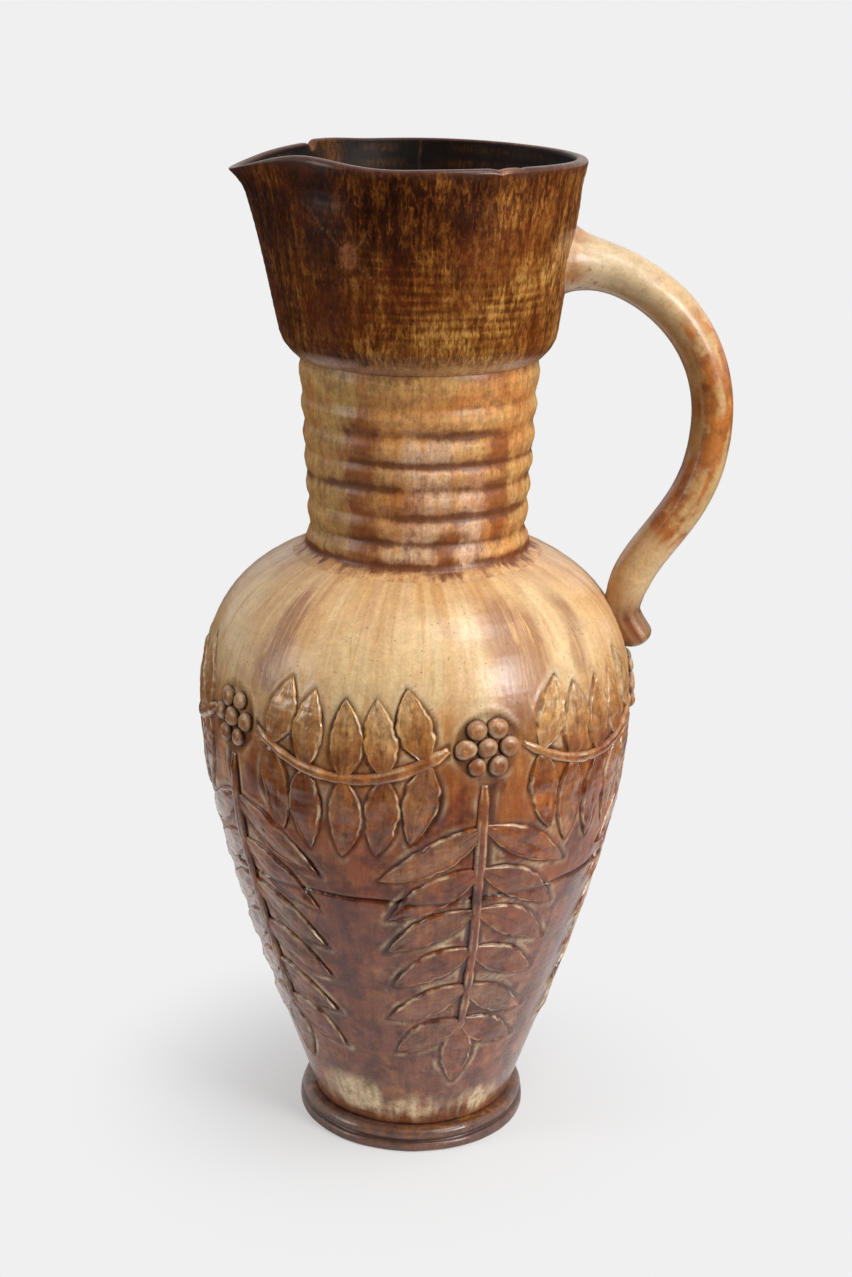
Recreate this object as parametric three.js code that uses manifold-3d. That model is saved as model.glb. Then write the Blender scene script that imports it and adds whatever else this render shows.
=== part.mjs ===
// Tall stoneware pitcher, built the way a potter builds one: a moulded foot slab, a body thrown in
// two halves, a ribbed neck, a funnel mouth with a pulled spout, a pulled handle and applied relief.
// Millimetres, +Z up. The origin is the centre of the base; +X is the handle side, -X the spout side.
import * as THREE from "three";
import { mergeVertices } from "three/addons/utils/BufferGeometryUtils.js";
import Module from "manifold-3d";

const wasm = await Module();
wasm.setup();

// Foot
const FOOT_RADIUS = 60;
const FOOT_SLAB_HEIGHT = 7;
const FOOT_EDGE_ROUND = 1.8;
const FOOT_BEAD_RADIUS = 58.8;
const FOOT_BEAD_HEIGHT = 5;

// Body: the lower half reaches from the foot to the seam, the upper half from the seam to the neck
const BODY_BASE_RADIUS = 52.3;
const BELLY_RADIUS = 108.4;
const SEAM_HEIGHT = 148;
const BELLY_ABOVE_SEAM = 70;
const SHOULDER_HEIGHT = 81;
const BODY_WALL = 8;
const FLANK_START_LEAN = 11.2;
const FLANK_START_RISE = 38;
const FLANK_END_RISE = 69;
const SHOULDER_START_RISE = 43;
const SHOULDER_END_REACH = 39.8;
const SHOULDER_END_DROP = 13.2;

// Neck
const NECK_BASE_RADIUS = 54;
const NECK_TOP_RADIUS = 58.8;
const NECK_HEIGHT = 92;
const NECK_WALL = 7;
const RIB_COUNT = 7;
const RIB_DEPTH = 1.6;

// Mouth and spout
const MOUTH_BASE_RADIUS = 66.8;
const MOUTH_TURN_HEIGHT = 15;
const MOUTH_TURN_BULGE = 0.2;
const RIM_RADIUS = 78.8;
const MOUTH_HEIGHT = 97;
const MOUTH_WALL = 6;
const LIP_ROUND = 1.6;
const SPOUT_REACH = 7.5;
const SPOUT_CURL = 6.4;
const SPOUT_DIP = 6.7;
const SPOUT_SPREAD_DEG = 20;
const SPOUT_FLANK_DEG = 46;
const NEAR_FLANK_LIFT = 3.5;
const FAR_FLANK_LIFT = 1;
const FAR_RIM_LIFT = 1.8;
const FAR_RIM_SPREAD_DEG = 45;

// Handle
const HANDLE_TOP_ABOVE_MOUTH_BASE = 48.5;
const HANDLE_BEND_BELOW_MOUTH_BASE = 27;
const HANDLE_FOOT_BELOW_NECK = 22;
const HANDLE_TAIL_LENGTH = 25;
const HANDLE_STANDOFF = 84.6;
const HANDLE_THICKNESS = 20.2;
const HANDLE_WIDTH = 25;
const HANDLE_UPPER_SWELL = 0.12;
const HANDLE_ROOT_FLARE = 0.3;
const HANDLE_TAIL_TAPER = 0.76;

// The handle's curve: its offsets from the shoulder, and how far its control points lie along each run
const HANDLE_FOOT_OFFSET = 15.2;
const HANDLE_TAIL_OFFSET = 7.5;
const HANDLE_TAIL_HOLLOW = 2;
const HANDLE_ROOT_DROOP = 2;
const HANDLE_FOOT_SWING = 6.7;
const ROOT_PULL = 0.56;
const BEND_PULL = 0.55;
const FOOT_PULL = 0.29;

// Applied relief: garlands that hang between knots of berries, with a pendant spray below each knot
const UNIT_COUNT = 5;
const KNOT_ABOVE_BELLY = 11;
const GARLAND_SAG = 16;
const GARLAND_LEAF_PAIRS = 5;
const GARLAND_LEAF_LEAN_DEG = 20;
const UPPER_LEAF_LENGTH = 37;
const LOWER_LEAF_LENGTH = 43;
const PENDANT_LENGTH = 152;
const PENDANT_LEAF_PAIRS = 6;
const PENDANT_FIRST_PAIR = 22;
const PENDANT_PAIR_PITCH = 24;
const PENDANT_LEAF_LENGTH = 56;
const PENDANT_LEAF_SHORTENING = 3.5;
const PENDANT_LEAF_TILT_DEG = 33;
const TIP_LEAF_LENGTH = 40;
const LEAF_EDGE = 1.3;
const LEAF_CROWN = 1;
const STEM_WIDTH = 6;
const STEM_EDGE = 1;
const STEM_CROWN = 1.6;
const BERRY_RADIUS = 5;
const BERRY_HEIGHT = 4.2;
const BERRY_SPACING = 10.4;
const BERRIES_IN_RING = 6;
const KNOT_PAD_THICKNESS = 1.4;

// Clearances: under a piece laid on a curved wall, round the knots, between neighbouring leaves of a
// garland, and between layers of one piece
const SEAT_GAP = 0.3;
const KNOT_CLEARANCE = 3;
const LEAF_CLEARANCE = 2.6;
const LAYER_STEP = 0.15;

// Fineness
const HANDLE_STEPS = 26;
const HANDLE_SIDES = 12;
const LEAF_STEPS = 4;
const GARLAND_STEPS = 10;
const PENDANT_STEPS = 12;
const BERRY_SIDES = 7;
const PAD_SIDES = 12;
const TURN_SEGMENTS = 48;
const MOUTH_SEGMENTS = 60;
const LOWER_STEPS = 6;
const UPPER_STEPS = 10;

// Levels and places that follow from the sizes above
const FOOT_TOP_Z = FOOT_SLAB_HEIGHT + FOOT_BEAD_HEIGHT;
const SEAM_Z = FOOT_TOP_Z + SEAM_HEIGHT;
const BELLY_Z = SEAM_Z + BELLY_ABOVE_SEAM;
const NECK_BASE_Z = BELLY_Z + SHOULDER_HEIGHT;
const MOUTH_BASE_Z = NECK_BASE_Z + NECK_HEIGHT;
const MOUTH_TURN_Z = MOUTH_BASE_Z + MOUTH_TURN_HEIGHT;
const RIM_Z = MOUTH_BASE_Z + MOUTH_HEIGHT;
const UNIT_ANGLE = (2 * Math.PI) / UNIT_COUNT;
const KNOT_REACH = BERRY_SPACING + BERRY_RADIUS + KNOT_CLEARANCE;

const { clamp, degToRad, lerp, radToDeg, smoothstep } = THREE.MathUtils;
const flat = (r, z) => new THREE.Vector2(r, z);
const steps = (count) => Array.from({ length: count + 1 }, (_, i) => i / count);

// Points on an ellipse round (r, z), from one angle to another in degrees
function arc(r, z, across, up, fromDeg, toDeg, count) {
  return steps(count).map((t) => {
    const a = degToRad(lerp(fromDeg, toDeg, t));
    return flat(r + across * Math.cos(a), z + up * Math.sin(a));
  });
}

// A closed outline of radius and height turned round the Z axis, with its faces pointing out
function turned(outline, segments) {
  const ring = [...outline, outline[0]];
  if (THREE.ShapeUtils.area(outline) < 0) ring.reverse();
  return new THREE.LatheGeometry(ring, segments).rotateX(Math.PI / 2);
}

function indexed(positions, index) {
  const geometry = new THREE.BufferGeometry();
  geometry.setAttribute("position", new THREE.Float32BufferAttribute(positions, 3));
  geometry.setIndex(index);
  return geometry;
}

// A geometry as a solid that can be joined and cut
function solid(geometry) {
  geometry.deleteAttribute("normal");
  geometry.deleteAttribute("uv");
  const { attributes, index } = mergeVertices(geometry, 1e-3);
  const vertProperties = attributes.position.array;
  const triVerts = index.array;
  return new wasm.Manifold(new wasm.Mesh({ numProp: 3, vertProperties, triVerts }));
}

// A joined or cut solid as a geometry again
function geometryOf(body) {
  const { vertProperties, triVerts } = body.getMesh();
  const geometry = indexed(vertProperties, new THREE.BufferAttribute(triVerts, 1));
  geometry.computeVertexNormals();
  return geometry;
}

// Several solids joined into one geometry
function joined(bodies) {
  return geometryOf(bodies.reduce((all, body) => all.add(body)));
}

// Outside of the body as a curve of radius and height: the flank below the belly, the shoulder above
const bodyCurve = new THREE.CurvePath();
bodyCurve.add(new THREE.CubicBezierCurve(
  flat(BODY_BASE_RADIUS, FOOT_TOP_Z),
  flat(BODY_BASE_RADIUS + FLANK_START_LEAN, FOOT_TOP_Z + FLANK_START_RISE),
  flat(BELLY_RADIUS, BELLY_Z - FLANK_END_RISE),
  flat(BELLY_RADIUS, BELLY_Z),
));
bodyCurve.add(new THREE.CubicBezierCurve(
  flat(BELLY_RADIUS, BELLY_Z),
  flat(BELLY_RADIUS, BELLY_Z + SHOULDER_START_RISE),
  flat(NECK_BASE_RADIUS + SHOULDER_END_REACH, NECK_BASE_Z - SHOULDER_END_DROP),
  flat(NECK_BASE_RADIUS, NECK_BASE_Z),
));

// The same curve sampled from the foot up: distance along it, place, and outward direction
const BODY_SAMPLES = 240;
const bodyLength = bodyCurve.getLength();
const meridian = steps(BODY_SAMPLES).map((t) => {
  const place = bodyCurve.getPointAt(t);
  const along = bodyCurve.getTangentAt(t);
  return { rise: t * bodyLength, r: place.x, z: place.y, outR: along.y, outZ: -along.x };
});

// The meridian where one of its keys, rise or z, has a given value
function meridianAt(key, value) {
  const above = meridian.findIndex((m) => m[key] >= value);
  const k = above < 0 ? BODY_SAMPLES : Math.max(above, 1);
  const [a, b] = [meridian[k - 1], meridian[k]];
  const t = clamp((value - a[key]) / (b[key] - a[key]), 0, 1);
  return Object.fromEntries(Object.keys(a).map((name) => [name, lerp(a[name], b[name], t)]));
}

// Points along the body between two heights, moved out from its surface, or in if negative
function bodyOffset(fromZ, toZ, count, offset) {
  const [from, to] = [meridianAt("z", fromZ).rise, meridianAt("z", toZ).rise];
  return steps(count).map((t) => {
    const m = meridianAt("rise", lerp(from, to, t));
    return flat(m.r + offset * m.outR, m.z + offset * m.outZ);
  });
}

// Where a line of points, or its first stretch carried on, crosses a height
function radiusAtHeight(points, z) {
  const k = Math.max(1, points.findIndex((p) => p.y >= z));
  const [a, b] = [points[k - 1], points[k]];
  return lerp(a.x, b.x, (z - a.y) / (b.y - a.y));
}

// Foot: a flat slab with rounded edges and a bead on top, which the body wall stands on
function footGeometry() {
  const round = FOOT_EDGE_ROUND;
  const bead = FOOT_BEAD_HEIGHT / 2;
  return turned([
    flat(0, 0),
    ...arc(FOOT_RADIUS - round, round, round, round, -90, 0, 1),
    ...arc(FOOT_RADIUS - round, FOOT_SLAB_HEIGHT - round, round, round, 0, 90, 1),
    ...arc(FOOT_BEAD_RADIUS - bead, FOOT_SLAB_HEIGHT + bead, bead, bead, -60, 90, 3),
    flat(0, FOOT_TOP_Z),
  ], TURN_SEGMENTS);
}

// Lower half of the body: the wall from the foot to the seam, both ends flat
function lowerBodyGeometry() {
  const outside = bodyOffset(FOOT_TOP_Z, SEAM_Z, LOWER_STEPS, 0);
  const inside = bodyOffset(FOOT_TOP_Z, SEAM_Z, LOWER_STEPS, -BODY_WALL);
  return turned([
    ...outside.slice(0, -1),
    flat(outside.at(-1).x, SEAM_Z),
    flat(radiusAtHeight(inside, SEAM_Z), SEAM_Z),
    ...inside.slice(1, -1).reverse(),
    flat(radiusAtHeight(inside, FOOT_TOP_Z), FOOT_TOP_Z),
  ], TURN_SEGMENTS);
}

// Upper half of the body: the wall from the seam over the shoulder to the bore of the neck
function upperBodyGeometry() {
  const outside = bodyOffset(SEAM_Z, NECK_BASE_Z, UPPER_STEPS, 0);
  const inside = bodyOffset(SEAM_Z, NECK_BASE_Z, UPPER_STEPS, -BODY_WALL);
  return turned([
    flat(outside[0].x, SEAM_Z),
    ...outside.slice(1),
    flat(NECK_BASE_RADIUS - NECK_WALL, NECK_BASE_Z),
    ...inside.slice(1).reverse(),
    flat(radiusAtHeight(inside, SEAM_Z), SEAM_Z),
  ], TURN_SEGMENTS);
}

// Neck: a tapering tube whose outside has a groove between every two ribs
function neckGeometry() {
  const outside = steps(2 * RIB_COUNT).map((t, i) => {
    const groove = i % 2 ? 0 : RIB_DEPTH;
    return flat(lerp(NECK_BASE_RADIUS, NECK_TOP_RADIUS, t) - groove, lerp(NECK_BASE_Z, MOUTH_BASE_Z, t));
  });
  return turned([
    ...outside,
    flat(NECK_TOP_RADIUS - NECK_WALL, MOUTH_BASE_Z),
    flat(NECK_BASE_RADIUS - NECK_WALL, NECK_BASE_Z),
  ], TURN_SEGMENTS);
}

// Outside radius of the mouth's cone at a height, before the spout is pulled
function mouthRadius(z) {
  return lerp(MOUTH_BASE_RADIUS, RIM_RADIUS, (z - MOUTH_TURN_Z) / (RIM_Z - MOUTH_TURN_Z));
}

// The mouth before the spout is pulled: a sloped turn that bulges a little, a cone, a round lip and the bore
function mouthOutline() {
  const lip = MOUTH_WALL / 2;
  const lipZ = RIM_Z - LIP_ROUND;
  const coneHeights = [0, 0.4, 0.75].map((t) => lerp(MOUTH_TURN_Z, lipZ, t));
  const bore = NECK_TOP_RADIUS - NECK_WALL;
  const overhang = MOUTH_BASE_RADIUS - NECK_TOP_RADIUS;
  const turnAt = (t) => {
    const out = overhang * (t + MOUTH_TURN_BULGE * Math.sin(Math.PI * t));
    return flat(NECK_TOP_RADIUS + out, lerp(MOUTH_BASE_Z, MOUTH_TURN_Z, t));
  };
  return [
    ...[0, 0.28, 0.55, 0.8].map(turnAt),
    ...coneHeights.map((z) => flat(mouthRadius(z), z)),
    ...arc(mouthRadius(lipZ) - lip, lipZ, lip, LIP_ROUND, 0, 180, 3),
    ...coneHeights.toReversed().map((z) => flat(mouthRadius(z) - MOUTH_WALL, z)),
    flat(bore, lerp(MOUTH_BASE_Z, MOUTH_TURN_Z, 0.4)),
    flat(bore, MOUTH_BASE_Z),
  ];
}

// Mouth: the spout is pulled out at -X, with its tip dipped and its two flanks lifted, the near one
// at -Y more than the far one; the rim is a little higher on the far side, at +Y
function mouthGeometry() {
  const geometry = turned(mouthOutline(), MOUTH_SEGMENTS);
  const bell = (deg, spread) => Math.exp(-((deg / spread) ** 2));
  const place = geometry.attributes.position;
  const p = new THREE.Vector3();
  for (let i = 0; i < place.count; i++) {
    p.fromBufferAttribute(place, i);
    const height = clamp((p.z - MOUTH_BASE_Z) / MOUTH_HEIGHT, 0, 1);
    const aside = radToDeg(Math.atan2(p.y, -p.x));
    const beak = bell(aside, SPOUT_SPREAD_DEG);
    const flank = bell(Math.abs(aside) - SPOUT_FLANK_DEG, SPOUT_SPREAD_DEG);
    const flankLift = aside < 0 ? NEAR_FLANK_LIFT : FAR_FLANK_LIFT;
    const farSide = bell(aside - 90, FAR_RIM_SPREAD_DEG);
    const pull = beak * (SPOUT_REACH * height + SPOUT_CURL * height ** 10);
    const widen = 1 + pull / Math.hypot(p.x, p.y);
    const raised = flankLift * flank - SPOUT_DIP * beak + FAR_RIM_LIFT * farSide;
    const lift = height ** 6 * raised;
    place.setXYZ(i, p.x * widen, p.y * widen, p.z + lift);
  }
  return geometry;
}

// Centreline of the handle: out of the mouth, over and down, then along the shoulder to its tail
function handleCurve() {
  const at = (x, z) => new THREE.Vector3(x, 0, z);
  const topZ = MOUTH_BASE_Z + HANDLE_TOP_ABOVE_MOUTH_BASE;
  const bendZ = MOUTH_BASE_Z - HANDLE_BEND_BELOW_MOUTH_BASE;
  const footZ = NECK_BASE_Z - HANDLE_FOOT_BELOW_NECK;
  const tailZ = footZ - HANDLE_TAIL_LENGTH;
  const rootX = mouthRadius(topZ) - MOUTH_WALL / 2;
  const bendX = NECK_TOP_RADIUS + HANDLE_STANDOFF;
  const footX = meridianAt("z", footZ).r + HANDLE_FOOT_OFFSET;
  const tailX = meridianAt("z", tailZ).r + HANDLE_TAIL_OFFSET;
  const curve = new THREE.CurvePath();
  curve.add(new THREE.CubicBezierCurve3(
    at(rootX, topZ),
    at(lerp(rootX, bendX, ROOT_PULL), topZ - HANDLE_ROOT_DROOP),
    at(bendX, lerp(bendZ, topZ, BEND_PULL)),
    at(bendX, bendZ),
  ));
  curve.add(new THREE.CubicBezierCurve3(
    at(bendX, bendZ),
    at(bendX, lerp(bendZ, footZ, BEND_PULL)),
    at(footX + HANDLE_FOOT_SWING, lerp(footZ, bendZ, FOOT_PULL)),
    at(footX, footZ),
  ));
  curve.add(new THREE.QuadraticBezierCurve3(
    at(footX, footZ),
    at(footX - HANDLE_TAIL_HOLLOW, lerp(footZ, tailZ, 0.5)),
    at(tailX, tailZ),
  ));
  return curve;
}

// A closed tube of oval sections along a curve in the XZ plane; size(t) scales each section
function ovalTube(curve, count, sides, thickness, width, size) {
  const across = new THREE.Vector3(0, 1, 0);
  const positions = steps(count).flatMap((t) => {
    const outward = across.clone().cross(curve.getTangentAt(t));
    return steps(sides).slice(0, -1).flatMap((turn) => {
      const a = 2 * Math.PI * turn;
      const p = curve.getPointAt(t);
      p.addScaledVector(outward, (thickness / 2) * size(t) * Math.cos(a));
      p.addScaledVector(across, (width / 2) * size(t) * Math.sin(a));
      return p.toArray();
    });
  });
  const index = [];
  for (let i = 0; i < count * sides; i++) {
    const next = i % sides === sides - 1 ? i + 1 - sides : i + 1;
    index.push(i, next, next + sides, i, next + sides, i + sides);
  }
  const last = count * sides;
  for (let k = 1; k < sides - 1; k++) index.push(0, k + 1, k, last, last + k, last + k + 1);
  return indexed(positions, index);
}

// Handle: flared where it leaves the mouth, tapered at its tail, and cut to seat on both walls
function handleGeometry() {
  const size = (t) => {
    const flare = HANDLE_ROOT_FLARE * Math.exp(-((t / 0.07) ** 2));
    const swell = HANDLE_UPPER_SWELL * (1 - smoothstep(t, 0.05, 0.5));
    const taper = (1 - HANDLE_TAIL_TAPER) * smoothstep(t, 0.86, 0.95);
    return 1 + flare + swell - taper;
  };
  const tube = ovalTube(handleCurve(), HANDLE_STEPS, HANDLE_SIDES, HANDLE_THICKNESS, HANDLE_WIDTH, size);
  const cone = turned([
    flat(0, MOUTH_TURN_Z),
    flat(MOUTH_BASE_RADIUS + SEAT_GAP, MOUTH_TURN_Z),
    flat(RIM_RADIUS + SEAT_GAP, RIM_Z),
    flat(0, RIM_Z),
  ], MOUTH_SEGMENTS);
  const shoulder = bodyOffset(SEAM_Z, NECK_BASE_Z, UPPER_STEPS, SEAT_GAP);
  const belly = turned([flat(0, SEAM_Z), ...shoulder, flat(0, NECK_BASE_Z)], TURN_SEGMENTS);
  return geometryOf(solid(tube).subtract(solid(cone)).subtract(solid(belly)));
}

// A point on the body: angle round it, rise along its meridian, and lift off its surface
function onBody(angle, rise, lift) {
  const m = meridianAt("rise", rise);
  const r = m.r + lift * m.outR;
  return [r * Math.cos(angle), r * Math.sin(angle), m.z + lift * m.outZ];
}

// A strip of clay laid on the body along a path of angle and rise. It has a ridge along its middle,
// upright edges, and an underside that follows the body at the given lift.
function appliedStrip({ path, halfWidth, edge, crown, lift, count }) {
  const positions = steps(count).flatMap((t) => {
    const here = path(t);
    const { r } = meridianAt("rise", here.rise);
    const [before, after] = [path(t - 0.02), path(t + 0.02)];
    const ahead = flat((after.angle - before.angle) * r, after.rise - before.rise).normalize();
    const spot = (side, height) => {
      const aside = side * halfWidth(t);
      return onBody(here.angle + (aside * ahead.y) / r, here.rise - aside * ahead.x, lift + height);
    };
    const top = [spot(-1, edge), spot(0, edge + crown), spot(1, edge)];
    const underside = [spot(1, 0), spot(0, 0), spot(-1, 0)];
    return [...top, ...underside].flat();
  });
  const ring = 6;
  const index = [];
  for (let i = 0; i < count * ring; i++) {
    const next = i % ring === ring - 1 ? i + 1 - ring : i + 1;
    index.push(i, next, next + ring, i, next + ring, i + ring);
  }
  const last = count * ring;
  for (let k = 1; k < ring - 1; k++) index.push(0, k + 1, k, last, last + k, last + k + 1);
  return solid(indexed(positions, index));
}

const knot = meridianAt("z", BELLY_Z + KNOT_ABOVE_BELLY);

// The clear run between two knots, shared out over a garland's leaf pairs, gives the leaves their width
const leafPitch = (UNIT_ANGLE * knot.r - 2 * KNOT_REACH) / GARLAND_LEAF_PAIRS;
const leafWidth = leafPitch - LEAF_CLEARANCE;

// A stem of even width along a path
function stem(path, count) {
  const halfWidth = () => STEM_WIDTH / 2;
  return appliedStrip({ path, halfWidth, edge: STEM_EDGE, crown: STEM_CROWN, lift: SEAT_GAP, count });
}

// A pointed leaf from a place on the body, in a direction measured up from level
function leaf(angle, rise, directionDeg, length) {
  const [across, up] = [Math.cos(degToRad(directionDeg)), Math.sin(degToRad(directionDeg))];
  const path = (t) => {
    const { r } = meridianAt("rise", rise + (length * t * up) / 2);
    return { angle: angle + (length * t * across) / r, rise: rise + length * t * up };
  };
  const bulge = (t) => Math.max(Math.sin(Math.PI * t ** 0.85), 0.15 - 0.06 * t);
  const halfWidth = (t) => (leafWidth / 2) * bulge(t);
  const lift = SEAT_GAP + LAYER_STEP;
  return appliedStrip({ path, halfWidth, edge: LEAF_EDGE, crown: LEAF_CROWN, lift, count: LEAF_STEPS });
}

// A turned outline that stands square to the body
function standing(outline, segments, angle, rise, lift) {
  const foot = new THREE.Vector3(...onBody(angle, rise, lift));
  const outward = new THREE.Vector3(...onBody(angle, rise, lift + 1)).sub(foot);
  const turn = new THREE.Quaternion().setFromUnitVectors(new THREE.Vector3(0, 0, 1), outward);
  return solid(turned(outline, segments).applyQuaternion(turn).translate(...foot));
}

// A berry: a low dome
function berry(angle, rise) {
  const dome = [
    flat(0, 0),
    flat(BERRY_RADIUS, 0),
    flat(0.7 * BERRY_RADIUS, 0.8 * BERRY_HEIGHT),
    flat(0, BERRY_HEIGHT),
  ];
  return standing(dome, BERRY_SIDES, angle, rise, SEAT_GAP + LAYER_STEP);
}

// Garland: a stem that sags between two knots, with one leaf above and one below at each step
function garlandGeometry(unit) {
  const start = unit * UNIT_ANGLE + KNOT_REACH / knot.r;
  const end = (unit + 1) * UNIT_ANGLE - KNOT_REACH / knot.r;
  const path = (t) => ({ angle: lerp(start, end, t), rise: knot.rise - GARLAND_SAG * 4 * t * (1 - t) });
  const pairs = steps(GARLAND_LEAF_PAIRS).slice(1).map((t) => t - 0.5 / GARLAND_LEAF_PAIRS);
  const leaves = pairs.flatMap((t) => {
    const { angle, rise } = path(t);
    const lean = GARLAND_LEAF_LEAN_DEG * (1 - 2 * t);
    return [
      leaf(angle, rise, 90 - lean, UPPER_LEAF_LENGTH),
      leaf(angle, rise, lean / 2 - 90, LOWER_LEAF_LENGTH),
    ];
  });
  return joined([stem(path, GARLAND_STEPS), ...leaves]);
}

// Pendant spray: a stem that hangs below a knot, with pairs of leaves and a last leaf at its tip
function pendantGeometry(unit) {
  const angle = unit * UNIT_ANGLE;
  const top = knot.rise - KNOT_REACH;
  const bodies = [stem((t) => ({ angle, rise: top - PENDANT_LENGTH * t }), PENDANT_STEPS)];
  for (let pair = 0; pair < PENDANT_LEAF_PAIRS; pair++) {
    const rise = top - PENDANT_FIRST_PAIR - PENDANT_PAIR_PITCH * pair;
    const length = PENDANT_LEAF_LENGTH - PENDANT_LEAF_SHORTENING * pair;
    bodies.push(leaf(angle, rise, -PENDANT_LEAF_TILT_DEG, length));
    bodies.push(leaf(angle, rise, PENDANT_LEAF_TILT_DEG - 180, length));
  }
  bodies.push(leaf(angle, top - PENDANT_LENGTH + STEM_WIDTH, -90, TIP_LEAF_LENGTH));
  return joined(bodies);
}

// Berry knot: one berry with a ring of berries round it, on a small flat pad
function knotGeometry(unit) {
  const angle = unit * UNIT_ANGLE;
  const disc = [
    flat(0, 0),
    flat(BERRY_SPACING, 0),
    flat(BERRY_SPACING, KNOT_PAD_THICKNESS),
    flat(0, KNOT_PAD_THICKNESS),
  ];
  const pad = standing(disc, PAD_SIDES, angle, knot.rise, SEAT_GAP);
  const ring = steps(BERRIES_IN_RING).slice(1).map((t) => {
    const a = 2 * Math.PI * t;
    return berry(angle + (BERRY_SPACING * Math.cos(a)) / knot.r, knot.rise + BERRY_SPACING * Math.sin(a));
  });
  return joined([pad, berry(angle, knot.rise), ...ring]);
}

const pitcher = new THREE.Group();

function add(name, geometry, color, roughness) {
  const mesh = new THREE.Mesh(geometry, new THREE.MeshStandardMaterial({ color, roughness, metalness: 0 }));
  mesh.name = name;
  pitcher.add(mesh);
}

add("foot", footGeometry(), "#4b2c17", 0.25);
add("lower_body", lowerBodyGeometry(), "#8a5230", 0.3);
add("upper_body", upperBodyGeometry(), "#c99b60", 0.3);
add("neck", neckGeometry(), "#b48a52", 0.3);
add("mouth", mouthGeometry(), "#5a3516", 0.25);
add("handle", handleGeometry(), "#d8bb86", 0.3);
for (let unit = 0; unit < UNIT_COUNT; unit++) {
  add(`garland_${unit + 1}`, garlandGeometry(unit), "#b9803f", 0.3);
  add(`pendant_spray_${unit + 1}`, pendantGeometry(unit), "#9a6232", 0.3);
  add(`berry_knot_${unit + 1}`, knotGeometry(unit), "#8a4f24", 0.3);
}

export default pitcher;
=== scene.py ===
# %% [markdown]
# # A tall stoneware pitcher
# The real pot is turned on a wheel in several parts that are joined while damp. A pulled handle and
# moulded leaves and berries are stuck on, and one flowing glaze covers everything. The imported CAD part
# is loaded first. It fixes every size and place, and each piece made below stands for one of its solids.

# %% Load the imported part
from collections import namedtuple

import bpy
import numpy as np
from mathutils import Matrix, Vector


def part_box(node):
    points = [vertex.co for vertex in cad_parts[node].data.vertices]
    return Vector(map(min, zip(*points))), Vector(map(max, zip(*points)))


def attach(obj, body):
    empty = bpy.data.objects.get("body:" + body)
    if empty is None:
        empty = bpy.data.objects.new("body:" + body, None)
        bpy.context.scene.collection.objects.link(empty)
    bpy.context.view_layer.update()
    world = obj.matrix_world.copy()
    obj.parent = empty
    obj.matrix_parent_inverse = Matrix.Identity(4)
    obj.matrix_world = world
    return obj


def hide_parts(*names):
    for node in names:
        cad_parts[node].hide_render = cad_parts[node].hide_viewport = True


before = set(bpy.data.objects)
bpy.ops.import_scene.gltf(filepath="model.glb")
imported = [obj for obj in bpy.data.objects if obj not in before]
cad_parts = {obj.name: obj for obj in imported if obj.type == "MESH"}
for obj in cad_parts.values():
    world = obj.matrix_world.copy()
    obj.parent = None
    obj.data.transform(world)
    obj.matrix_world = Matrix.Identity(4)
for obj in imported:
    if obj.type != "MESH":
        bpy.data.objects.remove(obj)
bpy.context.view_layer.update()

# %% [markdown]
# ## Levels
# All shapes are worked out in millimetres, as the CAD source does, and become metres when a mesh is
# filled. The heights where one turned part meets the next are read from the CAD boxes, so the pieces
# made here meet at the same places.

# %% Levels of the turned parts
MM = 0.001
TURN = 2 * np.pi


def top_of(node):
    """Height of a CAD node's highest point, in millimetres."""
    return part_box(node)[1].z / MM


FOOT_TOP = top_of("foot")
SEAM = top_of("lower_body")
NECK_BASE = top_of("upper_body")
MOUTH_BASE = top_of("neck")
MOUTH_HEIGHT = 97
RIM = MOUTH_BASE + MOUTH_HEIGHT
print(f"levels: foot {FOOT_TOP:.1f}, seam {SEAM:.1f}, neck {NECK_BASE:.1f}, mouth {MOUTH_BASE:.1f}")

# %% [markdown]
# ## Small tools for smooth shapes
# Hand-made clay has no hard edges, so nearly everything here is mixed from three soft shapes. A smooth
# step eases from 0 to 1. A bell is 1 in its middle and fades to both sides. Patches are soft random
# blotches that close up round the pot, because their grid of random numbers is wrapped. Blender's own
# textures could do this too, but only in a picture: these also move points. All three take whole arrays,
# which is much faster in Python than visiting one vertex after another.

# %% Steps, bells and patches


def smooth(low, high, x):
    """0 below low, 1 above high, and between them the cubic 3s^2 - 2s^3 of the way s from low to high."""
    s = np.clip((x - low) / (high - low), 0, 1)
    return s * s * (3 - 2 * s)


def bell(x, width):
    """e to the power of minus (x / width) squared."""
    return np.exp(-((x / width) ** 2))


def apart(angle, degrees):
    """How far an angle lies from a direction in degrees, wrapped to the range -180 to 180."""
    return (np.degrees(angle) - degrees + 180) % 360 - 180


def patches(angle, height, round_cells, cell_height, seed):
    """Random numbers from -1 to 1 on a grid wrapped round the pot, joined by smooth steps both ways."""
    rows = 97
    start_row = 11.3
    table = np.random.default_rng(seed).uniform(-1, 1, (rows, round_cells))
    u = np.mod(angle / TURN, 1) * round_cells
    v = height / cell_height + start_row
    u, v = np.broadcast_arrays(u, v)
    i = np.floor(u).astype(int)
    j = np.floor(v).astype(int)
    a = smooth(0, 1, u - i)
    b = smooth(0, 1, v - j)
    i, k = i % round_cells, (i + 1) % round_cells
    j, m = j % rows, (j + 1) % rows
    low = table[j, i] * (1 - a) + table[j, k] * a
    high = table[m, i] * (1 - a) + table[m, k] * a
    return low * (1 - b) + high * b


def ripple(angle, round_cells, seed):
    """Patches that change only on the way round, for the seam, the rim and the ends of drips."""
    return patches(angle, 0.0, round_cells, 1.0, seed)


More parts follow.
